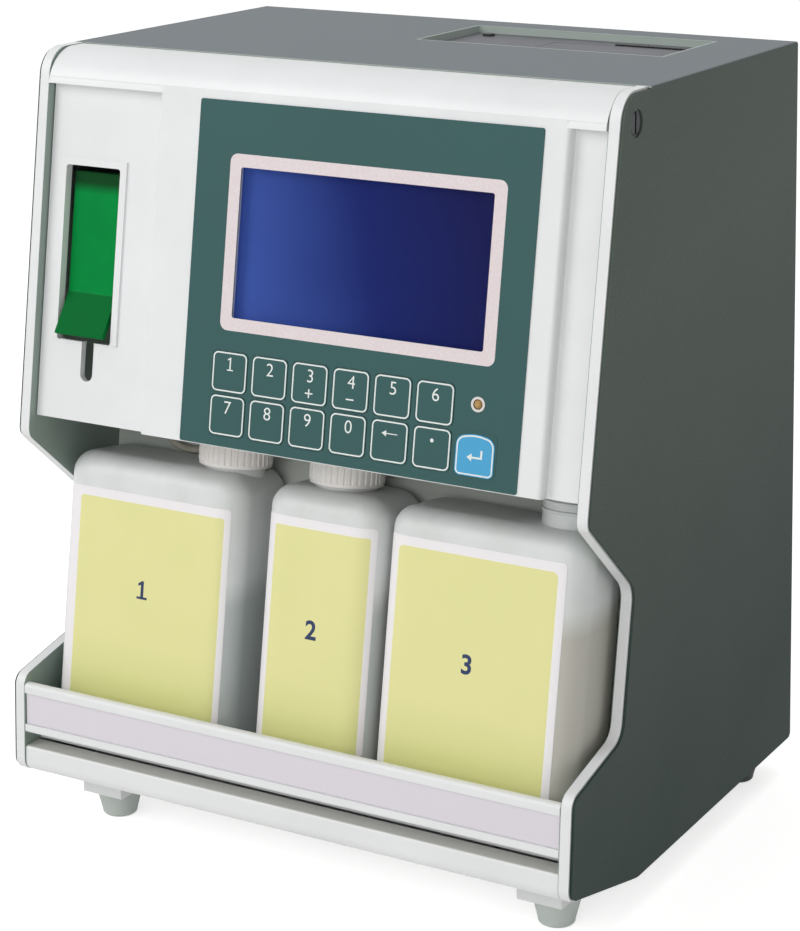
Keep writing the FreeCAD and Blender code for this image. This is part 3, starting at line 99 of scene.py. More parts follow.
FONT_SIZE = 1.4  # of a capital's height
LOG = logging.getLogger("analyzer")
Loop = list[tuple[float, float]]
Number = Union[float, "Wire"]


def linear(code: str) -> tuple[float, float, float, float]:
    """Turn a hex colour into scene-linear RGBA.

    Args:
        code: Colour such as "#8d9c96".

    Returns:
        Red, green, blue and an alpha of 1.
    """
    parts = [int(code[i:i + 2], 16) / 255 for i in (1, 3, 5)]
    red, green, blue = [p / 12.92 if p <= 0.04045 else ((p + 0.055) / 1.055) ** 2.4 for p in parts]
    return red, green, blue, 1.0


class Tone(Enum):
    """Colours of the object's finishes."""

    # Cover tones: the top is a lit copy and the side a shaded copy of one paint, with painted shade that
    # deepens towards the foot.
    COVER_TOP = "#747b80"
    COVER_SIDE = "#4f5952"
    COVER_FOOT = "#152c27"
    # Painted shade in the cover texture's pits; the paler tone is painted highlight on its peaks and also a
    # faint broad cloud.
    COVER_DARK = "#2e3533"
    COVER_LIGHT = "#6a726e"
    # Painted light on the printer window's walls and painted highlight on its rim and along the cover's front
    # edge.
    WINDOW_WALL = "#aab5ae"
    WHITE = "#e8e9ea"
    WHITE_SHADE = "#dddedf"
    # Painted shade on the cheeks' inner faces.
    CHEEK_INNER = "#8f9e96"
    # Painted shade on the base plate's floor inside the slot under the tray.
    SLOT_FLOOR = "#c6c6c0"
    INNER = "#dde2dd"
    CHASSIS = "#c9cbc0"
    REAR = "#5f6764"
    FOOT = "#bac3be"
    FOOT_DARK = "#2b2f2f"
    STEEL = "#9b9c9e"
    DARK_STEEL = "#35363a"
    TEAL = "#2e5655"
    TEAL_SHADE = "#2a4f4e"
    FRAME = "#ddd0d2"
    INK = "#e6ebe8"
    NAVY = "#0b2b58"
    KEY_BLUE = "#4aa3d0"
    SCREEN_LEFT = "#3c56a6"
    SCREEN_MIDDLE = "#15246a"
    SCREEN_RIGHT = "#12164e"
    BEZEL = "#2a2d3a"
    GLASS = "#0c1030"
    LAMP = "#b08a52"
    LAMP_RING = "#d9d4cf"
    LEVER = "#05883f"
    # Darker green mottles the lever and is painted shade on its lip; the darkest tone is painted shade on its
    # rounded head.
    LEVER_DARK = "#02632b"
    LEVER_HEAD = "#10421f"
    BOTTLE = "#e0e3e3"
    BOTTLE_SHADE = "#d3d5d3"
    WATER = "#9fa9a8"
    WASTE = "#a39a83"
    LABEL_EDGE = "#f1edef"
    LABEL_FIELD = "#e6e2a0"
    LABEL_FOOT = "#d6d98c"
    CAP = "#f1ece8"
    TUBE = "#cfc7b4"
    PUMP = "#50545a"
    ROLLER = "#d8d8d2"
    ELECTRODE = "#c4b27a"
    PLATED = "#a3a6a4"
    BOARD = "#1f5a38"
    BOARD_TRACK = "#3f7d4f"
    SLATE = "#55565c"
    SLATE_LIGHT = "#6d6e73"
    RUBBER = "#1e1e20"
    PAPER = "#efefea"
    BLACK = "#17181a"
    STRIP = "#ded8e0"

    @property
    def rgba(self) -> tuple[float, float, float, float]:
        """Scene-linear colour."""
        return linear(self.value)


class Wire:
    """A shader socket that can be used in sums."""

    def __init__(self, graph: "Graph", socket: bpy.types.NodeSocket) -> None:
        """Keep the graph and the socket."""
        self.graph = graph
        self.socket = socket

    def maths(self, operation: str, other: Number = 0.0, swapped: bool = False) -> "Wire":
        """Add one Math node.

        Args:
            operation: The node's operation.
            other: The second value.
            swapped: True where the other value comes first.

        Returns:
            The node's result.
        """
        pair = (other, self) if swapped else (self, other)
        return self.graph.node("ShaderNodeMath", {"operation": operation}, {0: pair[0], 1: pair[1]})

    def __add__(self, other: Number) -> "Wire":
        """Sum."""
        return self.maths("ADD", other)

    def __radd__(self, other: Number) -> "Wire":
        """Sum, reflected."""
        return self.maths("ADD", other, True)

    def __sub__(self, other: Number) -> "Wire":
        """Difference."""
        return self.maths("SUBTRACT", other)

    def __rsub__(self, other: Number) -> "Wire":
        """Difference, reflected."""
        return self.maths("SUBTRACT", other, True)

    def __mul__(self, other: Number) -> "Wire":
        """Product."""
        return self.maths("MULTIPLY", other)

    def __rmul__(self, other: Number) -> "Wire":
        """Product, reflected."""
        return self.maths("MULTIPLY", other, True)

    def __truediv__(self, other: Number) -> "Wire":
        """Quotient."""
        return self.maths("DIVIDE", other)

    def __abs__(self) -> "Wire":
        """Size without sign."""
        return self.maths("ABSOLUTE")

    def above(self, other: Number) -> "Wire":
        """The larger of the two."""
        return self.maths("MAXIMUM", other)

    def ramp(self, low: float, high: float) -> "Wire":
        """Stretch low..high to 0..1 and hold it there.

        Args:
            low: Value that becomes 0.
            high: Value that becomes 1.

        Returns:
            The clamped result.
        """
        return self.graph.node("ShaderNodeMapRange", {"clamp": True},
                               {0: self, 1: low, 2: high, 3: 0.0, 4: 1.0})


class Graph:
    """Nodes of one material, or of the world."""

    def __init__(self, name: str, owners: Any = None) -> None:
        """Start a material with an empty principled surface.

        Args:
            name: The material's name.
            owners: Collection that the nodes' owner is made in, the materials where left out.
        """
        self.owner = (bpy.data.materials if owners is None else owners).new(name)
        self.owner.use_nodes = True
        self.tree = self.owner.node_tree
        self.shader = next(n for n in self.tree.nodes if n.type in ("BSDF_PRINCIPLED", "BACKGROUND"))

    def node(self, kind: str, settings: dict[str, Any], inputs: dict[Union[int, str], Any],
             output: Union[int, str] = 0) -> Wire:
        """Add a node.

        Args:
            kind: The node's type.
            settings: Its own settings; "stops" are a ramp's places and colours.
            inputs: Values or wires by socket.
            output: The socket to hand back.

        Returns:
            The chosen output.
        """
        made = self.tree.nodes.new(kind)
        for key, value in settings.items():
            if key == "stops":
                while len(made.color_ramp.elements) < len(value):
                    made.color_ramp.elements.new(0.5)
                for element, (place, colour) in zip(made.color_ramp.elements, value):
                    element.position, element.color = place, colour
            else:
                setattr(made, key, value)
        for key, value in inputs.items():
            self.feed(made.inputs[key], value)
        return Wire(self, made.outputs[output])

    def feed(self, socket: bpy.types.NodeSocket, value: Any) -> None:
        """Link a wire to a socket, or set its value.

        Args:
            socket: The socket to feed.
            value: A wire, number, colour or vector.
        """
        if isinstance(value, Wire):
            self.tree.links.new(value.socket, socket)
        else:
            socket.default_value = value

    def place(self) -> Wire:
        """Position in the object's own frame, in metres."""
        return self.node("ShaderNodeTexCoord", {}, {}, "Object")

    def stretched(self, scale: Sequence[float]) -> Wire:
        """Position with each axis scaled."""
        return self.node("ShaderNodeMapping", {}, {"Vector": self.place(), "Scale": tuple(scale)})

    def along(self, axis: Vector) -> Wire:
        """Distance along a direction."""
        return self.node("ShaderNodeVectorMath", {"operation": "DOT_PRODUCT"},
                         {0: self.place(), 1: tuple(axis)}, "Value")

    def inside(self, low: Sequence[float], high: Sequence[float], soft: float = 0.1 * MM) -> Wire:
        """Mask that is 1 between two corners and 0 outside them.

        Args:
            low: Lowest corner.
            high: Highest corner.
            soft: Width of the mask's edge.

        Returns:
            The mask.
        """
        mask: Any = 1.0
        for axis, (start, end) in enumerate(zip(low, high)):
            way = self.along(Vector([float(i == axis) for i in range(3)]))
            mask = way.ramp(start - soft, start) * (1 - way.ramp(end, end + soft)) * mask
        return mask

    def seen(self) -> Wire:
        """Tell what looks at a surface from what lights the object.

        Returns:
            1 for rays from the camera, reflections and clear windows, 0 for light itself.
        """
        rays = [self.node("ShaderNodeLightPath", {}, {}, kind)
                for kind in ("Is Camera Ray", "Is Glossy Ray", "Is Transmission Ray")]
        return rays[0].above(rays[1]).above(rays[2])

    def grain(self, size: float, detail: float = 2.0, stretch: Sequence[float] = (1, 1, 1)) -> Wire:
        """Soft random pattern of 0..1.

        Args:
            size: Width of a grain in metres.
            detail: Number of finer layers.
            stretch: Scale of each axis, for brushed or streaky patterns.

        Returns:
            The pattern.
        """
        return self.node("ShaderNodeTexNoise", {}, {
            "Vector": self.stretched(stretch), "Scale": 1 / size, "Detail": detail, "Roughness": 0.55}, "Fac")

    def blend(self, share: Number, first: Any, second: Any) -> Wire:
        """Colour between two.

        Args:
            share: 0 gives the first, 1 the second.
            first: Colour or wire.
            second: Colour or wire.

        Returns:
            The mixed colour.
        """
        return self.node("ShaderNodeMix", {"data_type": "RGBA"}, {0: share, 6: first, 7: second}, 2)

    def relief(self, height: Wire, depth: float, strength: float = 1.0) -> Wire:
        """Bumped normal from a height of 0..1 and a depth in metres."""
        return self.node("ShaderNodeBump", {},
                         {"Height": height, "Distance": depth, "Strength": strength}, "Normal")

    def dress(self, values: dict[str, Any]) -> Any:
        """Set the surface's sockets.

        Args:
            values: Values or wires by socket.

        Returns:
            The material or world.
        """
        for key, value in values.items():
            self.feed(self.shader.inputs[key], value)
        return self.owner


@dataclass(frozen=True)
class Slope:
    """The leaning front's directions, from the travel of its first key."""

    into: Vector
    up: Vector

    @classmethod
    def of_joint(cls, joints: Iterable[dict[str, Any]], name: str) -> "Slope":
        """Read the slope from a joint's axis.

        Args:
            joints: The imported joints.
            name: Joint whose axis points into the front.

        Returns:
            The slope.
        """
        axis = next(Vector(j["axis"]) for j in joints if j["name"] == name)
        return cls(axis, Vector((0.0, -axis.z, axis.y)))

    def room(self, x: float, depth: float, height: float) -> Vector:
        """Point of the row frame at x, a depth into the front and a height up it."""
        return Vector((x, 0.0, 0.0)) + self.into * depth + self.up * height

    def matrix(self, x: float, depth: float, height: float) -> Matrix:
        """Frame for flat print: its X runs right, Y up the slope and Z out of the front.

        Args:
            x: Place along X.
            depth: Depth into the front.
            height: Height up the front.

        Returns:
            The frame.
        """
        place = self.room(x, depth, height)
        right = Vector((1.0, 0.0, 0.0))
        return Matrix((
            (right.x, self.up.x, -self.into.x, place.x), (right.y, self.up.y, -self.into.y, place.y),
            (right.z, self.up.z, -self.into.z, place.z), (0, 0, 0, 1)))


@dataclass(frozen=True)
class Span:
    """A node's reach along X, into the front and up it."""

    low: Vector
    high: Vector

    @classmethod
    def of(cls, node: bpy.types.Object, slope: Slope) -> "Span":
        """Measure a node's vertices along the slope's axes.

        Args:
            node: The node's object.
            slope: The leaning front.

        Returns:
            The node's reach.
        """
        points = [Vector((v.co.x, v.co.dot(slope.into), v.co.dot(slope.up))) for v in node.data.vertices]
        low = Vector([min(p[i] for p in points) for i in range(3)])
        high = Vector([max(p[i] for p in points) for i in range(3)])
        return cls(low, high)

    @property
    def middle(self) -> Vector:
        """Centre of the reach."""
        return (self.low + self.high) / 2


def filleted(corners: Sequence[tuple[float, float, float]], steps: int = 6) -> Loop:
    """Anticlockwise outline through corners, each rounded by a tangent arc.

    Args:
        corners: X, Y and radius of each corner.
        steps: Stretches per corner.

    Returns:
        The outline's points.
    """
    loop: Loop = []
    count = len(corners)
    for i, (x, y, radius) in enumerate(corners):
        here = Vector((x, y))
        before = (here - Vector(corners[i - 1][:2])).normalized()
        after = (Vector(corners[(i + 1) % count][:2]) - here).normalized()
        turn = math.atan2(before.x * after.y - before.y * after.x, before.dot(after))
        start = here - before * (radius * math.tan(turn / 2))
        centre = start + Vector((-before.y, before.x)) * radius
        first = math.atan2(before.y, before.x) - math.pi / 2
        for k in range(steps + 1):
            angle = first + turn * k / steps
            loop.append((centre.x + radius * math.cos(angle), centre.y + radius * math.sin(angle)))
    return loop


def rounded(width: float, height: float, radius: float) -> Loop:
    """Rounded rectangle about the origin, anticlockwise."""
    x, y = width / 2, height / 2
    return filleted([(x, y, radius), (-x, y, radius), (-x, -y, radius), (x, -y, radius)])


def circle(radius: float, steps: int = 40) -> Loop:
    """Circle about the origin, anticlockwise."""
    return [(radius * math.cos(2 * math.pi * i / steps), radius * math.sin(2 * math.pi * i / steps))
            for i in range(steps)]


def numeral_one(height: float, weight: float) -> Loop:
    """Outline of a 1 with a flag and a foot.

    Args:
        height: Its height.
        weight: Width of its stem as a share of the height.

    Returns:
        The outline, centred on the origin.
    """
    stem, foot, flag = weight / 2, 0.15 + weight, 0.17 + weight / 2
    base, drop = -0.5 + weight * 0.7, weight * 0.8
    shape = [(-foot, -0.5), (foot, -0.5), (foot, base), (stem, base), (stem, 0.5), (-stem * 0.4, 0.5),
             (-flag, 0.36), (-flag, 0.36 - drop), (-stem, 0.44 - drop), (-stem, base), (-foot, base)]
    return [(x * height, y * height) for x, y in shape]


def plus(arm: float, line: float) -> Loop:
    """Outline of a plus sign.

    Args:
        arm: Reach of its arms.
        line: Width of its lines.

    Returns:
        The outline, centred on the origin.
    """
    t = line / 2
    return [(arm, -t), (arm, t), (t, t), (t, arm), (-t, arm), (-t, t),
            (-arm, t), (-arm, -t), (-t, -t), (-t, -arm), (t, -arm), (t, -t)]


@dataclass
class Maker:
    """Turns outlines into thin solid pieces on the object."""

    slope: Slope
    count: int = 0

    def piece(self, name: str, mesh: bpy.types.Mesh, finish: bpy.types.Material, body: str, slot: str,
              matrix: Matrix) -> bpy.types.Object:
        """Link a mesh as a piece that rides on a body.

        Args:
            name: The piece's name.
            mesh: Its mesh, in its own frame.
            finish: Its material.
            body: The body that carries it.
            slot: The record's material slot it belongs to; not used.
            matrix: Its frame in the row frame.

        Returns:
            The new object.
        """
        mesh.transform(matrix)
        mesh.materials.clear()
        mesh.materials.append(finish)
        obj = bpy.data.objects.new(name, mesh)
        bpy.context.scene.collection.objects.link(obj)
        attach(obj, body)
        self.count += 1
        return obj

    @staticmethod
    def slab(name: str, outer: Loop, thickness: float) -> bpy.types.Mesh:
        """Solid plate under an outline, from 0 up to its thickness.

        Args:
            name: The mesh's name.
            outer: Its outline.
            thickness: Its thickness.

        Returns:
            The mesh.
        """
        count = len(outer)
        points = [(x, y, 0.0) for x, y in outer] + [(x, y, thickness) for x, y in outer]
        faces = [tuple(reversed(range(count))), tuple(range(count, 2 * count))]
        faces += [(i, (i + 1) % count, count + (i + 1) % count, count + i) for i in range(count)]
        mesh = bpy.data.meshes.new(name)
        mesh.from_pydata(points, [], faces)
        return mesh

    @staticmethod
    def ring(name: str, outer: Loop, inner: Loop, thickness: float) -> bpy.types.Mesh:
        """Solid band between two outlines with as many points, from 0 up to its thickness.

        Args:
            name: The mesh's name.
            outer: Its outline.
            inner: Outline of its opening.
            thickness: Its thickness.

        Returns:
            The mesh.
        """
        count = len(outer)
        points = [(x, y, z) for z in (0.0, thickness) for loop in (outer, inner) for x, y in loop]
        faces = []
        for i in range(count):
            j = (i + 1) % count
            faces += [
                (i, count + i, count + j, j),
                (2 * count + i, 2 * count + j, 3 * count + j, 3 * count + i),
                (i, j, 2 * count + j, 2 * count + i),
                (count + i, 3 * count + i, 3 * count + j, count + j)]
        mesh = bpy.data.meshes.new(name)
        mesh.from_pydata(points, [], faces)
        return mesh

    @staticmethod
    def numeral(name: str, text: str, height: float, thickness: float, bold: float) -> bpy.types.Mesh:
        """Mesh of a plain numeral or sign, centred on the origin.

        Args:
            name: The mesh's name.
            text: One character.
            height: Height of a capital.
            thickness: Height of the ink.
            bold: Outward offset of the outline.

        Returns:
            The mesh, lying in its XY plane.
        """
        if text == "1":
            stem = 0.13 + 1.6 * bold / height
            return Maker.slab(name, numeral_one(height, stem), thickness)
        curve = bpy.data.curves.new(name, "FONT")
        curve.body = text
        curve.size = height * FONT_SIZE
        curve.extrude = thickness / 2
        curve.offset = bold
        curve.resolution_u = 4
        mesh = Maker.filled(name, curve)
        xs = [v.co.x for v in mesh.vertices]
        ys = [v.co.y for v in mesh.vertices]
        mesh.transform(Matrix.Translation(
            (-(min(xs) + max(xs)) / 2, -(min(ys) + max(ys)) / 2, thickness / 2)))
        return mesh

    @staticmethod
    def filled(name: str, curve: bpy.types.Curve) -> bpy.types.Mesh:
        """Turn a flat curve into a mesh.

        Args:
            name: The mesh's name.
            curve: The curve.

        Returns:
            The mesh.
        """
        holder = bpy.data.objects.new(name, curve)
        bpy.context.scene.collection.objects.link(holder)
        bpy.context.view_layer.update()
        graph = bpy.context.evaluated_depsgraph_get()
        mesh = bpy.data.meshes.new_from_object(holder.evaluated_get(graph))
        bpy.data.objects.remove(holder)
        return mesh

    @staticmethod
    def cutout(name: str, outer: Loop, inner: Loop, thickness: float) -> bpy.types.Mesh:
        """Solid plate from 0 up to its thickness, with a hole of any other outline.

        Args:
            name: The mesh's name.
            outer: Its outline.
            inner: Outline of its hole.
            thickness: Its thickness.

        Returns:
            The mesh.
        """
        curve = bpy.data.curves.new(name, "CURVE")
        curve.dimensions, curve.fill_mode, curve.extrude = "2D", "BOTH", thickness / 2
        for loop in (outer, inner):
            spline = curve.splines.new("POLY")
            spline.points.add(len(loop) - 1)
            for point, (x, y) in zip(spline.points, loop):
                point.co = (x, y, 0.0, 1.0)
            spline.use_cyclic_u = True
        mesh = Maker.filled(name, curve)
        mesh.transform(Matrix.Translation((0, 0, thickness / 2)))
        return mesh


class Finish(Protocol):
    """A look that builds its own material."""

    def material(self, name: str) -> bpy.types.Material:
        """Build the material.

        Args:
            name: The material's name.

        Returns:
            The material.
        """


@dataclass(frozen=True)
class Moulding:
    """Moulded plastic with a fine skin and faint mottling.

    Inside a box it may take another tone: painted shade on a slot's floor or on an inner face, or the darker
    tone of the rear feet.
    """

    colour: Tone
    shade: Tone
    roughness: float = 0.42
    skin: float = 0.9 * MM
    depth: float = 0.010 * MM
    other: Union[Tone, None] = None
    low: Sequence[float] = (0.0, 0.0, 0.0)
    high: Sequence[float] = (0.0, 0.0, 0.0)

    def material(self, name: str) -> bpy.types.Material:
        """Build the material.

        Args:
            name: The material's name.

        Returns:
            The material.
        """
        g = Graph(name)
        mottle = g.grain(38 * MM, 3.0)
        skin = g.grain(self.skin, 3.0)
        colour = g.blend(mottle.ramp(0.35, 0.75) * 0.55, self.colour.rgba, self.shade.rgba)
        if self.other:
            colour = g.blend(g.inside(self.low, self.high), colour, self.other.rgba)
        return g.dress({
            "Base Color": colour, "Roughness": self.roughness + (skin - 0.5) * 0.16,
            "Normal": g.relief(skin, self.depth), "IOR": 1.5})


@dataclass(frozen=True)
class PowderCoat:
    """Textured paint: painted shade in pits and painted highlight on peaks, lit paler on top, painted shade
    deepening towards its foot.
    """

    low: Vector
    high: Vector
    window_low: Vector
    window_high: Vector
    seam: float
    grain: float = 0.75 * MM
    wall: float = 12.0 * MM
    rim: float = 1.1 * MM
    # Rises over which the painted shade at the cover's foot gives way to the side tone, and how far that shade
    # leans towards the back.
    deep_rise: float = 25.0 * MM
    pale_rise: float = 250.0 * MM
    rear_share: float = 0.25

    def material(self, name: str) -> bpy.types.Material:
        """Build the material.

        Args:
            name: The material's name.

        Returns:
            The material.
        """
        g = Graph(name)
        bead = g.grain(self.grain, 2.0)
        fine = g.grain(self.grain * 0.4, 1.0)
        broad = g.grain(70 * MM, 2.0)
        rise = g.along(Vector((0, 0, 1)))
        back = g.along(Vector((0, 1, 0)))
        # Painted light and shade: paler on top, painted shade on the sides that deepens towards the foot and
        # towards the back.
        foot = self.low.z
        share = (rise - back * self.rear_share).ramp(foot + self.deep_rise, foot + self.pale_rise)
        side = g.blend(share, Tone.COVER_FOOT.rgba, Tone.COVER_SIDE.rgba)
        base = g.blend(rise.ramp(self.high.z - 0.4 * MM, self.high.z - 0.1 * MM), side, Tone.COVER_TOP.rgba)
        # Painted shade in the texture's pits and painted highlight on its peaks, over a faint broad cloud of
        # the paler tone.
        pits = 1 - (bead * 0.6 + fine * 0.4).ramp(0.36, 0.50)
        dark = g.blend(pits * 0.30, base, Tone.COVER_DARK.rgba)
        peaks = g.blend((bead * 0.5 + fine * 0.5).ramp(0.55, 0.68) * 0.22, dark, Tone.COVER_LIGHT.rgba)
        cloud = g.blend(broad.ramp(0.4, 0.8) * 0.06, peaks, Tone.COVER_LIGHT.rgba)
        # Painted light on the printer window's walls, painted highlight on its rim and along the cover's front
        # edge.
        (x0, y0, _), (x1, y1, _), top, near = self.window_low, self.window_high, self.high.z, 0.3 * MM
        wall = g.inside((x0 - near, y0 - near, top - self.wall), (x1 + near, y1 + near, top - 0.4 * MM))
        ring = g.inside((x0 - self.rim, y0 - self.rim, top - near), (x1 + self.rim, y1 + self.rim, 1.0))
        line = g.inside((-1.0, -1.0, top - 0.5 * MM), (1.0, self.seam + self.rim, 1.0))
        edge_lit = g.blend(wall.above(ring).above(line), cloud, Tone.WINDOW_WALL.rgba)
        return g.dress({
            "Base Color": edge_lit, "Roughness": 0.48 + fine * 0.14,
            "Normal": g.relief(bead * 0.7 + fine * 0.3, 0.07 * MM, 0.7), "Specular IOR Level": 0.14})


@dataclass(frozen=True)
class Metal:
    """Bare or plated metal, brushed along one axis."""

    colour: Tone
    roughness: float = 0.34
    stretch: tuple[float, float, float] = (0.08, 1.0, 1.0)

    def material(self, name: str) -> bpy.types.Material:
        """Build the material.

        Args:
            name: The material's name.

        Returns:
            The material.
        """
        g = Graph(name)
        brush = g.grain(0.35 * MM, 2.0, self.stretch)
        stain = g.grain(18 * MM, 2.0)
        colour = g.blend(stain.ramp(0.35, 0.8) * 0.25, self.colour.rgba, Tone.DARK_STEEL.rgba)
        return g.dress({
            "Base Color": colour, "Metallic": 1.0, "Roughness": self.roughness + (brush - 0.5) * 0.22,
            "Normal": g.relief(brush, 0.010 * MM)})


@dataclass(frozen=True)
class Film:
    """Printed polycarbonate film with a fine matte tooth."""

    colour: Tone
    shade: Tone
    roughness: float = 0.46

    def material(self, name: str) -> bpy.types.Material:
        """Build the material.

        Args:
            name: The material's name.

        Returns:
            The material.
        """
        g = Graph(name)
        tooth = g.grain(0.30 * MM, 1.0)
        cloud = g.grain(45 * MM, 2.0)
        colour = g.blend(cloud.ramp(0.3, 0.8) * 0.6, self.colour.rgba, self.shade.rgba)
        return g.dress({
            "Base Color": colour, "Roughness": self.roughness + (tooth - 0.5) * 0.12,
            "Normal": g.relief(tooth, 0.006 * MM), "Specular IOR Level": 0.3})


@dataclass(frozen=True)
class Ink:
    """Flat printed ink with slightly uneven cover."""

    colour: Tone
    shade: Tone

    def material(self, name: str) -> bpy.types.Material:
        """Build the material.

        Args:
            name: The material's name.

        Returns:
            The material.
        """
        g = Graph(name)
        cover = g.grain(0.8 * MM, 3.0)
        return g.dress({
            "Base Color": g.blend(cover.ramp(0.45, 0.8) * 0.5, self.colour.rgba, self.shade.rgba),
            "Roughness": 0.5 + cover * 0.1, "Normal": g.relief(cover, 0.004 * MM)})


@dataclass(frozen=True)
class Screen:
    """Blue graphic display that darkens from left to right, in its dark bezel on a green board."""

    span: Span
    glass: Span
    slope: Slope
    recess: float = 1.0 * MM
    board: float = 1.7 * MM

    def material(self, name: str) -> bpy.types.Material:
        """Build the material.

        Args:
            name: The material's name.

        Returns:
            The material.
        """
        g = Graph(name)
        x, into, up = g.along(Vector((1, 0, 0))), g.along(self.slope.into), g.along(self.slope.up)
        across = x.ramp(self.glass.low.x, self.glass.high.x)
        upward = up.ramp(self.glass.low.z, self.glass.high.z)
        cloud = g.grain(60 * MM, 1.0)
        share = across + (upward - 0.5) * 0.12 + (cloud - 0.5) * 0.25
        colour = g.node("ShaderNodeValToRGB", {"stops": (
            (0.0, Tone.SCREEN_LEFT.rgba), (0.52, Tone.SCREEN_MIDDLE.rgba), (1.0, Tone.SCREEN_RIGHT.rgba))},
            {"Fac": share})
        middle, half = self.glass.middle, (self.glass.high - self.glass.low) / 2
        beyond = (abs(x - middle.x) - half.x).above(abs(up - middle.z) - half.z)
        deep = into.ramp(self.span.low.y + self.recess, self.span.low.y + self.recess + 0.1 * MM)
        bezel = beyond.ramp(0.0, 0.2 * MM).above(deep)
        board = into.ramp(self.span.high.y - self.board, self.span.high.y - self.board + 0.1 * MM)
        dressed = g.blend(board, g.blend(bezel, colour, Tone.BEZEL.rgba), Tone.BOARD.rgba)
        grain = g.grain(0.8 * MM, 1.0)
        return g.dress({
            "Base Color": dressed, "Roughness": 0.38 + grain * 0.06,
            "Emission Color": g.blend(bezel, colour, (0.0, 0.0, 0.0, 1.0)), "Emission Strength": 0.22,
            "Specular IOR Level": 0.1, "Normal": g.relief(grain, 0.002 * MM)})


@dataclass(frozen=True)
class ClearWindow:
    """Thin clear window, shown by its gloss over what lies behind."""

    tint: Tone
    cover: float = 0.06

    def material(self, name: str) -> bpy.types.Material:
        """Build the material.

        Args:
            name: The material's name.

        Returns:
            The material.
        """
        g = Graph(name)
        smear = g.grain(25 * MM, 2.0)
        return g.dress({
            "Base Color": self.tint.rgba, "Roughness": 0.10 + smear * 0.10,
            "Alpha": self.cover + smear * 0.04, "Specular IOR Level": 0.12})


@dataclass(frozen=True)
class BlownPlastic:
    """Milky polythene that lets some light into its wall, with a liquid showing through up to its level."""

    colour: Tone
    shade: Tone
    liquid: Tone
    level: float = -1.0
    soft: float = 5.0 * MM

    def material(self, name: str) -> bpy.types.Material:
        """Build the material.

        Args:
            name: The material's name.

        Returns:
            The material.
        """
        g = Graph(name)
        flow = g.grain(22 * MM, 3.0, (1.0, 1.0, 0.45))
        skin = g.grain(1.6 * MM, 2.0)
        milky = g.blend(flow.ramp(0.3, 0.8), self.colour.rgba, self.shade.rgba)
        below = 1 - g.along(Vector((0, 0, 1))).ramp(self.level - self.soft, self.level + self.soft)
        colour = g.blend(below * 0.55, milky, self.liquid.rgba)
        return g.dress({
            "Base Color": colour, "Roughness": 0.36 + skin * 0.14,
            "Subsurface Weight": 0.45, "Subsurface Radius": (0.005, 0.005, 0.005),
            "Normal": g.relief(flow * 0.7 + skin * 0.3, 0.12 * MM, 0.5)})


@dataclass(frozen=True)
class PrintedLabel:
    """Paper label: a plain field with rounded corners inside a pale border."""

    span: Span
    slope: Slope
    left: float
    right: float
    corner: float
    head: float = 3.8 * MM
    deep_rise: float = 32.0 * MM

    def material(self, name: str) -> bpy.types.Material:
        """Build the material.

        Args:
            name: The material's name.

        Returns:
            The material.
        """
        g = Graph(name)
        low_x, high_x = self.span.low.x + self.left, self.span.high.x - self.right
        foot, head = self.span.low.z - 2 * self.corner, self.span.high.z - self.head
        across, up = g.along(Vector((1, 0, 0))), g.along(self.slope.up)
        side = abs(across - (low_x + high_x) / 2) - ((high_x - low_x) / 2 - self.corner)
        rise = abs(up - (foot + head) / 2) - ((head - foot) / 2 - self.corner)
        outside_x, outside_y = side.above(0.0), rise.above(0.0)
        reach = (outside_x * outside_x + outside_y * outside_y).maths("SQRT") - self.corner
        field_share = 1 - reach.ramp(-0.05 * MM, 0.05 * MM)
        fibre = g.grain(0.5 * MM, 4.0)
        cloud = g.grain(30 * MM, 2.0)
        paper = g.blend(fibre.ramp(0.4, 0.9) * 0.3, Tone.LABEL_EDGE.rgba, Tone.WHITE_SHADE.rgba)
        deep = 1 - up.ramp(self.span.low.z, self.span.low.z + self.deep_rise)
        share = (cloud.ramp(0.3, 0.8) * 0.25).above(deep * 0.8)
        ink = g.blend(share, Tone.LABEL_FIELD.rgba, Tone.LABEL_FOOT.rgba)
        return g.dress({
            "Base Color": g.blend(field_share, paper, ink), "Roughness": 0.55 + fibre * 0.12,
            "Normal": g.relief(fibre, 0.008 * MM)})


@dataclass(frozen=True)
class Rubber:
    """Matte rubber with dusty mottling."""

    colour: Tone
    shade: Tone
    roughness: float = 0.72

    def material(self, name: str) -> bpy.types.Material:
        """Build the material.

        Args:
            name: The material's name.

        Returns:
            The material.
        """
        g = Graph(name)
        dust = g.grain(6 * MM, 4.0)
        tooth = g.grain(0.5 * MM, 2.0)
        return g.dress({
            "Base Color": g.blend(dust.ramp(0.35, 0.75) * 0.5, self.colour.rgba, self.shade.rgba),
            "Roughness": self.roughness + tooth * 0.1, "Normal": g.relief(tooth, 0.03 * MM)})


@dataclass(frozen=True)
class CircuitBoard:
    """Lacquered board with paler tracks and black parts that stand on it, past a level along an axis."""

    axis: Vector
    level: float

    def material(self, name: str) -> bpy.types.Material:
        """Build the material.

        Args:
            name: The material's name.

        Returns:
            The material.
        """
        g = Graph(name)
        tracks = g.node("ShaderNodeTexBrick", {"offset": 0.37, "squash": 0.6}, {
            "Vector": g.place(), "Scale": 90.0, "Mortar Size": 0.05, "Brick Width": 0.9,
            "Row Height": 0.22}, "Fac")
        lacquer = g.grain(9 * MM, 2.0)
        bare = g.blend(tracks * 0.8, Tone.BOARD.rgba, Tone.BOARD_TRACK.rgba)
        colour = g.blend(g.along(self.axis).ramp(self.level, self.level + 0.1 * MM), bare, Tone.BLACK.rgba)
        return g.dress({
            "Base Color": colour, "Roughness": 0.3 + lacquer * 0.2, "Normal": g.relief(tracks, 0.03 * MM)})


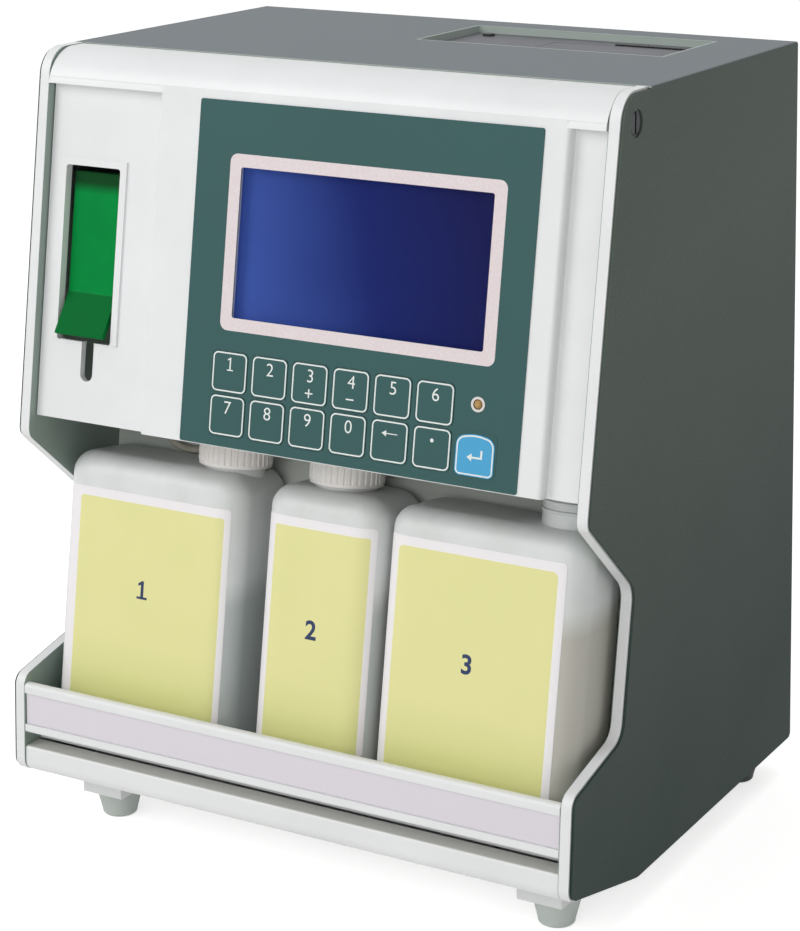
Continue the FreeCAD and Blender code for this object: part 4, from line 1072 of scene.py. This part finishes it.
@dataclass(frozen=True)
class StreakedSlate:
    """Dark printer deck with pale drawn-out streaks and a black tear bar that stands on it."""

    deck: float

    def material(self, name: str) -> bpy.types.Material:
        """Build the material.

        Args:
            name: The material's name.

        Returns:
            The material.
        """
        g = Graph(name)
        streaks = g.grain(5 * MM, 4.0, (0.12, 1.0, 1.0))
        tooth = g.grain(0.6 * MM, 2.0)
        slate = g.blend(streaks.ramp(0.5, 0.75) * 0.7, Tone.SLATE.rgba, Tone.SLATE_LIGHT.rgba)
        proud = g.along(Vector((0, 0, 1))).ramp(self.deck + 0.1 * MM, self.deck + 0.2 * MM)
        colour = g.blend(proud, slate, Tone.BLACK.rgba)
        return g.dress({
            "Base Color": colour, "Roughness": 0.48 + streaks * 0.1, "Normal": g.relief(tooth, 0.02 * MM)})


@dataclass(frozen=True)
class LeverPlastic:
    """Bright green plastic, with painted shade on its rounded head and on its lip."""

    span: Span
    slope: Slope
    head: float = 9.0 * MM
    lip: float = 17.5 * MM

    def material(self, name: str) -> bpy.types.Material:
        """Build the material.

        Args:
            name: The material's name.

        Returns:
            The material.
        """
        g = Graph(name)
        rise = g.along(self.slope.up)
        # Painted shade on the rounded head and on the lip.
        top = rise.ramp(self.span.high.z - self.head, self.span.high.z - self.head * 0.5)
        lip = 1 - rise.ramp(self.span.low.z + self.lip - 0.6 * MM, self.span.low.z + self.lip)
        flow = g.grain(14 * MM, 2.0)
        tooth = g.grain(0.7 * MM, 2.0)
        base = g.blend(flow.ramp(0.35, 0.8) * 0.25, Tone.LEVER.rgba, Tone.LEVER_DARK.rgba)
        lower = g.blend(lip * 0.9, base, Tone.LEVER_DARK.rgba)
        return g.dress({
            "Base Color": g.blend(top, lower, Tone.LEVER_HEAD.rgba), "Roughness": 0.46 + tooth * 0.1,
            "Specular IOR Level": 0.05, "Normal": g.relief(tooth, 0.010 * MM)})


@dataclass
class Paintbox:
    """Finishes that several pieces share, each made once."""

    made: dict[str, bpy.types.Material] = field(default_factory=dict)

    def get(self, name: str, finish: Finish) -> bpy.types.Material:
        """Fetch a material, and build it the first time.

        Args:
            name: The material's name.
            finish: The finish that it is built from.

        Returns:
            The material.
        """
        if name not in self.made:
            self.made[name] = finish.material(name)
        return self.made[name]


@dataclass
class Assembly:
    """Common parts of every sub-assembly."""

    nodes: dict[str, bpy.types.Object]
    paints: Paintbox
    maker: Maker

    def coat(self, name: str, finish: Finish, *nodes: str) -> None:
        """Give CAD nodes their material.

        Args:
            name: The material's name.
            finish: The finish that it is built from.
            nodes: Nodes that take it.
        """
        material = self.paints.get(name, finish)
        for node in nodes:
            mesh = self.nodes[node].data
            if not mesh.materials:
                mesh.materials.append(material)
            for i in range(len(mesh.materials)):
                mesh.materials[i] = material

    def span(self, name: str) -> Span:
        """Reach of a node along the slope."""
        return Span.of(self.nodes[name], self.maker.slope)

    @staticmethod
    def box(name: str) -> tuple[Vector, Vector]:
        """Lowest and highest corners of a node."""
        low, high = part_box(name)
        return Vector(low), Vector(high)

    def report(self) -> None:
        """Log that the sub-assembly is done."""
        LOG.info("%s done, %d added pieces so far", type(self).__name__, self.maker.count)


@dataclass
class Case(Assembly):
    """Cover, cheeks, floor, tray, rear sheet, feet and screws."""

    sheet: float = 1.2 * MM
    # Reach of the painted shade on the slot's floor, back from the base plate's front.
    slot_depth: float = 8.7 * MM
    slot_start: float = 0.3 * MM
    cheek_skin: float = 0.4 * MM
    deck_flange: float = 3.0 * MM
    right_flange: float = 2.5 * MM

    def dress(self) -> None:
        """Give each its finish."""
        cover, deck, base = (self.box(name) for name in ("outer_cover", "printer_housing", "base_plate"))
        flange, right = self.deck_flange, self.right_flange
        window_low = Vector((deck[0].x + flange, deck[0].y + flange, 0.0))
        window_high = Vector((deck[1].x - right, deck[1].y - flange, 0.0))
        coat = PowderCoat(*cover, window_low, window_high, self.seam(cover))
        self.coat("cover_coat", coat, "outer_cover")
        # The rear panel's darker mottle borrows the tone of the cover's painted foot shade.
        rear = Moulding(Tone.REAR, Tone.COVER_FOOT, 0.5, 0.6 * MM, 0.03 * MM)
        self.coat("rear_coat", rear, "rear_panel")
        white = (Tone.WHITE, Tone.WHITE_SHADE)
        self.coat("white_moulding", Moulding(*white), "bottle_tray")
        # The cheeks' inner faces take painted shade.
        inner = base[1].x + self.cheek_skin
        cheek = Moulding(*white, other=Tone.CHEEK_INNER, low=(-inner, -1, -1), high=(inner, 1, 1))
        self.coat("cheek_moulding", cheek, "left_cheek", "right_cheek")
        # Painted shade on the base plate's floor inside the slot under the tray.
        slot_shade_low = (base[0].x - MM, base[0].y + self.slot_start, base[1].z - 0.2 * MM)
        slot_shade_high = (base[1].x + MM, base[0].y + self.slot_depth, 1)
        floor = Moulding(*white, other=Tone.SLOT_FLOOR, low=slot_shade_low, high=slot_shade_high)
        self.coat("base_sheet", floor, "base_plate")
        self.coat("inner_sheet", Moulding(Tone.INNER, Tone.CHASSIS, 0.5, 0.6 * MM), "inner_panel")
        feet = Moulding(Tone.FOOT, Tone.INNER, 0.6, other=Tone.FOOT_DARK, low=(-1, 0, -1), high=(1, 1, 1))
        self.coat("foot_rubber", feet, "rubber_feet")
        self.coat("dark_steel", Metal(Tone.DARK_STEEL, 0.4), "hinge_screws")
        self.coat("steel", Metal(Tone.STEEL), "cover_screws", "serial_port")
        self.coat("strip_film", Film(Tone.STRIP, Tone.STRIP, 0.5), "tray_strip")
        self.coat("black_plastic", Moulding(Tone.BLACK, Tone.RUBBER, 0.4),
                  "power_inlet", "power_switch", "power_rocker")
        self.report()

    def seam(self, cover: tuple[Vector, Vector]) -> float:
        """Y of the cover's front edge at its top."""
        top = cover[1].z - self.sheet / 2
        return min(v.co.y for v in self.nodes["outer_cover"].data.vertices if v.co.z > top)


@dataclass
class Display(Assembly):
    """Window, module and the printed frame round them."""

    frame_margin: float = 5.1 * MM
    frame_corner: float = 3.2 * MM
    lens_corner: float = 1.0 * MM
    board: float = 1.6 * MM
    lens_margin: float = 1.0 * MM
    ink: float = 0.03 * MM

    def dress(self) -> None:
        """Finish the display and its boards."""
        slope = self.maker.slope
        screen = Screen(self.span("lcd_module"), self.span("lcd_window"), slope)
        self.coat("screen", screen, "lcd_module")
        self.coat("window", ClearWindow(Tone.GLASS), "lcd_window")
        clear = self.board + 0.1 * MM
        switches = CircuitBoard(-slope.into, clear - self.span("keypad_board").high.y)
        self.coat("switch_board", switches, "keypad_board")
        control = CircuitBoard(Vector((0, 0, 1)), clear + self.box("main_board")[0].z)
        self.coat("control_board", control, "main_board")

    def build(self) -> None:
        """Print the pale frame on the film, round the window."""
        window = self.span("lcd_window")
        film = self.span("keypad_overlay")
        size = window.high - window.low
        width, height = size.x - 2 * self.lens_margin, size.z - 2 * self.lens_margin
        outer = rounded(width + 2 * self.frame_margin, height + 2 * self.frame_margin, self.frame_corner)
        inner = rounded(width, height, self.lens_corner)
        mesh = Maker.ring("display_frame", outer, inner, self.ink)
        ink = self.paints.get("frame_ink", Ink(Tone.FRAME, Tone.LABEL_EDGE))
        place = self.maker.slope.matrix(window.middle.x, film.low.y, window.middle.z)
        self.maker.piece("display_frame", mesh, ink, "front_door", "film_teal", place)
        self.report()


class Mark(Enum):
    """Signs on the keys: the large one and the small one under it."""

    KEY_1 = ("1", "")
    KEY_2 = ("2", "")
    KEY_3 = ("3", "+")
    KEY_4 = ("4", "-")
    KEY_5 = ("5", "")
    KEY_6 = ("6", "")
    KEY_7 = ("7", "")
    KEY_8 = ("8", "")
    KEY_9 = ("9", "")
    KEY_0 = ("0", "")
    KEY_BACK = ("arrow", "")
    KEY_DOT = ("dot", "")
    KEY_ENTER = ("return", "")

    @property
    def node(self) -> str:
        """Name of the key's node."""
        return self.name.lower()


@dataclass
class Keypad(Assembly):
    """Film, keys with their outlines and signs, and the status lamp."""

    ink: float = 0.03 * MM
    line: float = 0.55 * MM
    inset: float = 0.35 * MM
    digit: float = 5.2 * MM
    digit_lift: float = 3.2 * MM
    digit_shift: float = 0.2 * MM
    digit_thinning: float = 0.04 * MM
    sign: float = 3.4 * MM
    sign_drop: float = 3.6 * MM
    stroke: float = 0.55 * MM
    half: float = 8.1 * MM
    corner: float = 2.2 * MM
    shoulder: float = 4.0 * MM
    bow: float = 18.0 * MM
    bow_rise: float = 1.6 * MM
    gap: float = 0.15 * MM
    surround_margin: float = 0.9 * MM
    surround: float = 0.12 * MM
    lamp_outer: float = 2.9 * MM
    lamp_inner: float = 1.95 * MM
    lamp_ring: float = 0.25 * MM

    def dress(self) -> None:
        """Finish the film and the keys."""
        keys = [mark.node for mark in Mark if mark is not Mark.KEY_ENTER]
        self.coat("teal_film", Film(Tone.TEAL, Tone.TEAL_SHADE), "keypad_overlay", *keys)
        self.coat("blue_film", Film(Tone.KEY_BLUE, Tone.KEY_BLUE), Mark.KEY_ENTER.node)
        self.coat("lamp", Ink(Tone.LAMP, Tone.LAMP), "status_led")

    def build(self) -> None:
        """Print every key and set the lamp's ring."""
        for mark in Mark:
            self.print_key(mark)
        lamp, enter = self.span("status_led").middle, self.span("key_enter")
        film, matrix = self.span("keypad_overlay").low.y, self.maker.slope.matrix
        mesh = Maker.ring("lamp_ring", circle(self.lamp_outer), circle(self.lamp_inner), self.lamp_ring)
        ring = self.paints.get("lamp_ring", Ink(Tone.LAMP_RING, Tone.FRAME))
        self.maker.piece("lamp_ring", mesh, ring, "front_door", "film_teal", matrix(lamp.x, film, lamp.z))
        side = 2 * (self.half + self.surround_margin)
        outer = rounded(side, side, self.corner + 0.6 * MM)
        mesh = Maker.cutout("enter_surround", outer, self.arched(self.half + self.gap, 0.0), self.surround)
        teal = self.paints.get("teal_film", Film(Tone.TEAL, Tone.TEAL_SHADE))
        self.maker.piece("enter_surround", mesh, teal, "front_door", "film_teal",
                         matrix(enter.middle.x, film, enter.low.z + self.half))
        self.report()

    def arched(self, half: float, inset: float) -> Loop:
        """Outline of the enter key: a square with a bowed head.

        Args:
            half: Half the square's width.
            inset: Distance that the outline is drawn in, all round.

        Returns:
            The outline, centred on the origin.
        """
        side, shoulder = half - inset, self.shoulder - inset
        return filleted([
            (side, -side, self.corner - inset), (side, side - self.bow_rise, shoulder),
            (0.0, side, self.bow - inset), (-side, side - self.bow_rise, shoulder),
            (-side, -side, self.corner - inset)])

    def print_key(self, mark: Mark) -> None:
        """Outline and sign of one key.

        Args:
            mark: The key's signs.
        """
        span, node = self.span(mark.node), mark.node
        slot = "key_blue" if mark is Mark.KEY_ENTER else "key_teal"
        white = self.paints.get("white_ink", Ink(Tone.INK, Tone.FRAME))
        frame = self.maker.slope.matrix(span.middle.x, span.low.y, span.low.z + self.half)
        wide = span.high.x - span.low.x - 2 * self.inset
        thin = wide - 2 * self.line
        if mark is Mark.KEY_ENTER:
            outer, inner = (self.arched(self.half, inset) for inset in (self.inset, self.inset + self.line))
        else:
            outer, inner = rounded(wide, wide, self.corner), rounded(thin, thin, self.corner - 0.5 * MM)
        prints = [("_outline", Maker.ring(node + "_outline", outer, inner, self.ink), 0.0, 0.0)]
        large, small = mark.value
        if large in "0123456789":
            mesh = Maker.numeral(node + "_sign", large, self.digit, self.ink, -self.digit_thinning)
            prints.append(("_sign", mesh, self.digit_shift, self.digit_lift))
        else:
            loop, lift = self.sign_loop(large)
            prints.append(("_sign_0", Maker.slab(node + "_sign_0", loop, self.ink), 0.0, lift))
        if small:
            half, t = self.sign / 2, self.stroke / 2
            loop = plus(half, self.stroke) if small == "+" else [(-half, -t), (half, -t), (half, t), (-half, t)]
            prints.append(("_small", Maker.slab(node + "_small", loop, self.ink), 0.0, -self.sign_drop))
        for ending, mesh, across, lift in prints:
            place = frame @ Matrix.Translation((across, lift, 0))
            self.maker.piece(node + ending, mesh, white, node, slot, place)

    def sign_loop(self, kind: str) -> tuple[Loop, float]:
        """Outline of the arrow, dot or return sign.

        Args:
            kind: Which sign.

        Returns:
            The outline and its height over the key's middle.
        """
        if kind == "dot":
            return circle(0.75 * MM, 20), 3.0 * MM
        if kind == "arrow":
            shape, lift = [(-3.4, 0), (-1.4, -1.2), (-1.4, -0.175), (3.4, -0.175), (3.4, 0.175), (-1.4, 0.175),
                           (-1.4, 1.2)], 3.0 * MM
        else:
            shape, lift = [(-3.2, 0), (-1.2, -1.5), (-1.2, -0.35), (3.2, -0.35), (3.2, 3.0), (2.4, 3.0),
                           (2.4, 0.35), (-1.2, 0.35), (-1.2, 1.5)], -1.0 * MM
        return [(x * MM, y * MM) for x, y in shape], lift


@dataclass
class Door(Assembly):
    """White flip-up front, with its two ears drawn flush with the recess beside the display."""

    ear: float = 3.1 * MM
    ear_depth: float = 4.0 * MM
    proud: float = 1.0 * MM
    lip: float = 301.5 * MM

    def build(self) -> None:
        """Mould the front."""
        node = self.nodes["front_door"]
        slope, span = self.maker.slope, self.span("front_door")
        level = span.low.y + self.ear_depth
        shell = bmesh.new()
        shell.from_mesh(node.data)
        for v in shell.verts:
            depth, rise = v.co.dot(slope.into), v.co.dot(slope.up)
            if abs(v.co.x) > span.high.x - self.ear and abs(depth - level) < 0.05 * MM and rise < self.lip:
                v.co += slope.into * self.proud
        bmesh.ops.dissolve_degenerate(shell, dist=0.01 * MM, edges=shell.edges)
        mesh = bpy.data.meshes.new("door_shell")
        shell.to_mesh(mesh)
        shell.free()
        white = Moulding(Tone.WHITE, Tone.WHITE_SHADE, 0.38)
        finish = self.paints.get("door_moulding", white)
        piece = self.maker.piece("door_shell", mesh, finish, "front_door", "white_moulding", Matrix())
        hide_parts("front_door")
        self.coat("door_moulding", white, "front_door")
        self.report()


@dataclass
class Sampler(Assembly):
    """Lever, probe and their bracket."""

    def dress(self) -> None:
        """Finish the lever and its steel."""
        lever = LeverPlastic(self.span("sample_lever"), self.maker.slope)
        self.coat("lever", lever, "sample_lever")
        self.coat("steel", Metal(Tone.STEEL), "sample_probe", "sampler_bracket", "lever_pin")
        self.report()


@dataclass
class Bottles(Assembly):
    """Three bottles with their labels, caps and tubes."""

    levels: dict[str, tuple[Tone, float]] = field(default_factory=lambda: {
        "calibrant_bottle": (Tone.WATER, 114.7 * MM), "slope_bottle": (Tone.WATER, 122.0 * MM),
        "waste_bottle": (Tone.WASTE, 129.0 * MM)})
    fields: dict[str, tuple[float, float, float, float]] = field(default_factory=lambda: {
        "calibrant_label": (6.0 * MM, 2.2 * MM, 1.2 * MM, 0.56),
        "slope_label": (4.8 * MM, 1.8 * MM, 1.2 * MM, 0.52),
        "waste_label": (5.4 * MM, 3.2 * MM, 2.4 * MM, 0.505)})
    numeral: float = 7.6 * MM
    bold: float = 0.25 * MM
    ink: float = 0.03 * MM

    def dress(self) -> None:
        """Finish the bottles, caps and tubes."""
        for name, (liquid, level) in self.levels.items():
            blown = BlownPlastic(Tone.BOTTLE, Tone.BOTTLE_SHADE, liquid, level)
            self.coat(name, blown, name)
        self.coat("cap_plastic", Moulding(Tone.CAP, Tone.WHITE_SHADE, 0.5), "calibrant_cap", "slope_cap")
        self.coat("tube_plastic", BlownPlastic(Tone.TUBE, Tone.ROLLER, Tone.TUBE),
                  "calibrant_tube", "slope_tube", "waste_tube")

    def build(self) -> None:
        """Print the labels, with a plain numeral on each."""
        navy = self.paints.get("navy_ink", Ink(Tone.NAVY, Tone.BLACK))
        for number, (name, (left, right, corner, lift)) in enumerate(self.fields.items(), 1):
            span = self.span(name)
            label = PrintedLabel(span, self.maker.slope, left, right, corner)
            self.coat(name, label, name)
            height = span.low.z + (span.high.z - span.low.z) * lift
            mesh = Maker.numeral(name + "_numeral", str(number), self.numeral, self.ink, self.bold)
            self.maker.piece(name + "_numeral", mesh, navy, "chassis", "label_paper",
                             self.maker.slope.matrix(span.middle.x, span.low.y, height))
        self.report()


@dataclass
class Printer(Assembly):
    """Deck, lid, platen and paper."""

    def dress(self) -> None:
        """Finish the printer."""
        deck = self.box("printer_door")[1].z
        self.coat("slate", StreakedSlate(deck), "printer_housing", "printer_door")
        self.coat("platen", Rubber(Tone.RUBBER, Tone.BLACK), "platen_roller")
        self.coat("paper", Rubber(Tone.PAPER, Tone.LABEL_EDGE), "paper_roll")
        self.report()


@dataclass
class Interior(Assembly):
    """Pump, electrodes and supply."""

    def dress(self) -> None:
        """Finish what the case holds."""
        self.coat("pump_plastic", Moulding(Tone.PUMP, Tone.SLATE), "pump_body", "pump_rotor", "electrode_rack")
        self.coat("roller_plastic", Moulding(Tone.ROLLER, Tone.WHITE_SHADE, 0.3), "pump_rollers")
        electrode = BlownPlastic(Tone.ELECTRODE, Tone.TUBE, Tone.TUBE)
        self.coat("electrode_plastic", electrode, "electrodes")
        self.coat("plated", Metal(Tone.PLATED, 0.42), "power_supply")
        self.report()


@dataclass
class Studio:
    """Floor, lamps, world and camera."""

    azimuth: float = 29.59
    elevation: float = 13.80
    lens: float = 99.45
    shift: float = -0.1402
    sensor: float = 36.0
    clip: tuple[float, float] = (0.01, 50.0)
    aim: tuple[float, float, float] = (0.0, 0.0, 0.16)
    eye: tuple[float, float, float] = (0.5096, -0.9104, 0.4653)
    sky: float = 0.40
    floor_lift: float = 0.62
    reach: float = 6.0
    lamps: tuple[tuple[str, tuple[float, float, float], float, float], ...] = (
        ("key_lamp", (-1.3, -1.7, 1.6), 1.2, 22.5), ("front_lamp", (0.5, -2.2, 0.9), 1.0, 10.5),
        ("top_lamp", (0.1, 0.3, 2.2), 1.4, 7.5))

    def camera(self) -> None:
        """Look as the photograph does."""
        data = bpy.data.cameras.new("camera")
        data.lens, data.sensor_width, data.shift_y = self.lens, self.sensor, self.shift
        data.clip_start, data.clip_end = self.clip
        turn, rise = math.radians(self.azimuth), math.radians(self.elevation)
        flat = math.cos(rise)
        back = Vector((math.sin(turn) * flat, -math.cos(turn) * flat, math.sin(rise)))
        obj = bpy.data.objects.new("camera", data)
        obj.rotation_mode = "QUATERNION"
        obj.rotation_quaternion = back.to_track_quat("Z", "Y")
        obj.location = self.eye
        bpy.context.scene.collection.objects.link(obj)
        bpy.context.scene.camera = obj

    def floor(self) -> None:
        """Lay a plain pale floor that shows white to the camera."""
        g = Graph("floor")
        mark = g.grain(0.4, 1.0)
        lift = g.blend(g.seen(), (0.0, 0.0, 0.0, 1.0), (self.floor_lift,) * 3 + (1.0,))
        finish = g.dress({
            "Base Color": g.blend(mark * 0.1, linear("#f2f2f0"), linear("#e9e9e8")), "Roughness": 0.85,
            "Specular IOR Level": 0.0, "Emission Color": lift, "Emission Strength": 1.0})
        mesh = bpy.data.meshes.new("floor")
        r = self.reach
        mesh.from_pydata([(-r, -r, 0), (r, -r, 0), (r, r, 0), (-r, r, 0)], [], [(0, 1, 2, 3)])
        mesh.materials.append(finish)
        obj = bpy.data.objects.new("floor", mesh)
        bpy.context.scene.collection.objects.link(obj)
        obj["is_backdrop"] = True

    def lamp(self, name: str, place: tuple[float, float, float], size: float, power: float) -> None:
        """Add a square soft lamp that faces the object's middle.

        Args:
            name: The lamp's name.
            place: Where it hangs.
            size: Its side.
            power: Its power in watts.
        """
        data = bpy.data.lights.new(name, "AREA")
        data.size, data.energy = size, power
        obj = bpy.data.objects.new(name, data)
        obj.location = place
        aim = Vector(self.aim) - Vector(place)
        obj.rotation_mode = "QUATERNION"
        obj.rotation_quaternion = aim.to_track_quat("-Z", "Y")
        bpy.context.scene.collection.objects.link(obj)

    def world(self) -> None:
        """White to the camera and in reflections, dimmer as light."""
        g = Graph("world", bpy.data.worlds)
        white, dim = (1.0, 1.0, 1.0, 1.0), (self.sky,) * 3 + (1.0,)
        bpy.context.scene.world = g.dress({"Color": g.blend(g.seen(), dim, white), "Strength": 1.0})

    def build(self) -> None:
        """Set up everything round the object."""
        self.camera()
        self.floor()
        self.world()
        for name, place, size, power in self.lamps:
            self.lamp(name, place, size, power)
        bpy.context.scene.view_settings.view_transform = "Standard"
        LOG.info("%s done", type(self).__name__)


def corners(bounds: Sequence[Vector]) -> list[list[float]]:
    """Bounds as plain lists."""
    return [[float(v) for v in corner] for corner in bounds]


def main() -> None:
    """Build every sub-assembly in order."""
    logging.basicConfig(level=logging.INFO, format="%(name)s: %(message)s")
    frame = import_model()
    cad = corners(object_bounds())
    Studio().build()
    slope = Slope.of_joint(frame["joints"], "key_1_press")
    paints, maker = Paintbox(), Maker(slope)
    share = (frame["nodes"], paints, maker)
    Case(*share).dress()
    Door(*share).build()
    display = Display(*share)
    display.dress()
    display.build()
    keypad = Keypad(*share)
    keypad.dress()
    keypad.build()
    Sampler(*share).dress()
    bottles = Bottles(*share)
    bottles.dress()
    bottles.build()
    Printer(*share).dress()
    Interior(*share).dress()
    {"cad": cad, "visual": corners(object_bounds())}


if __name__ == "__main__":
    main()
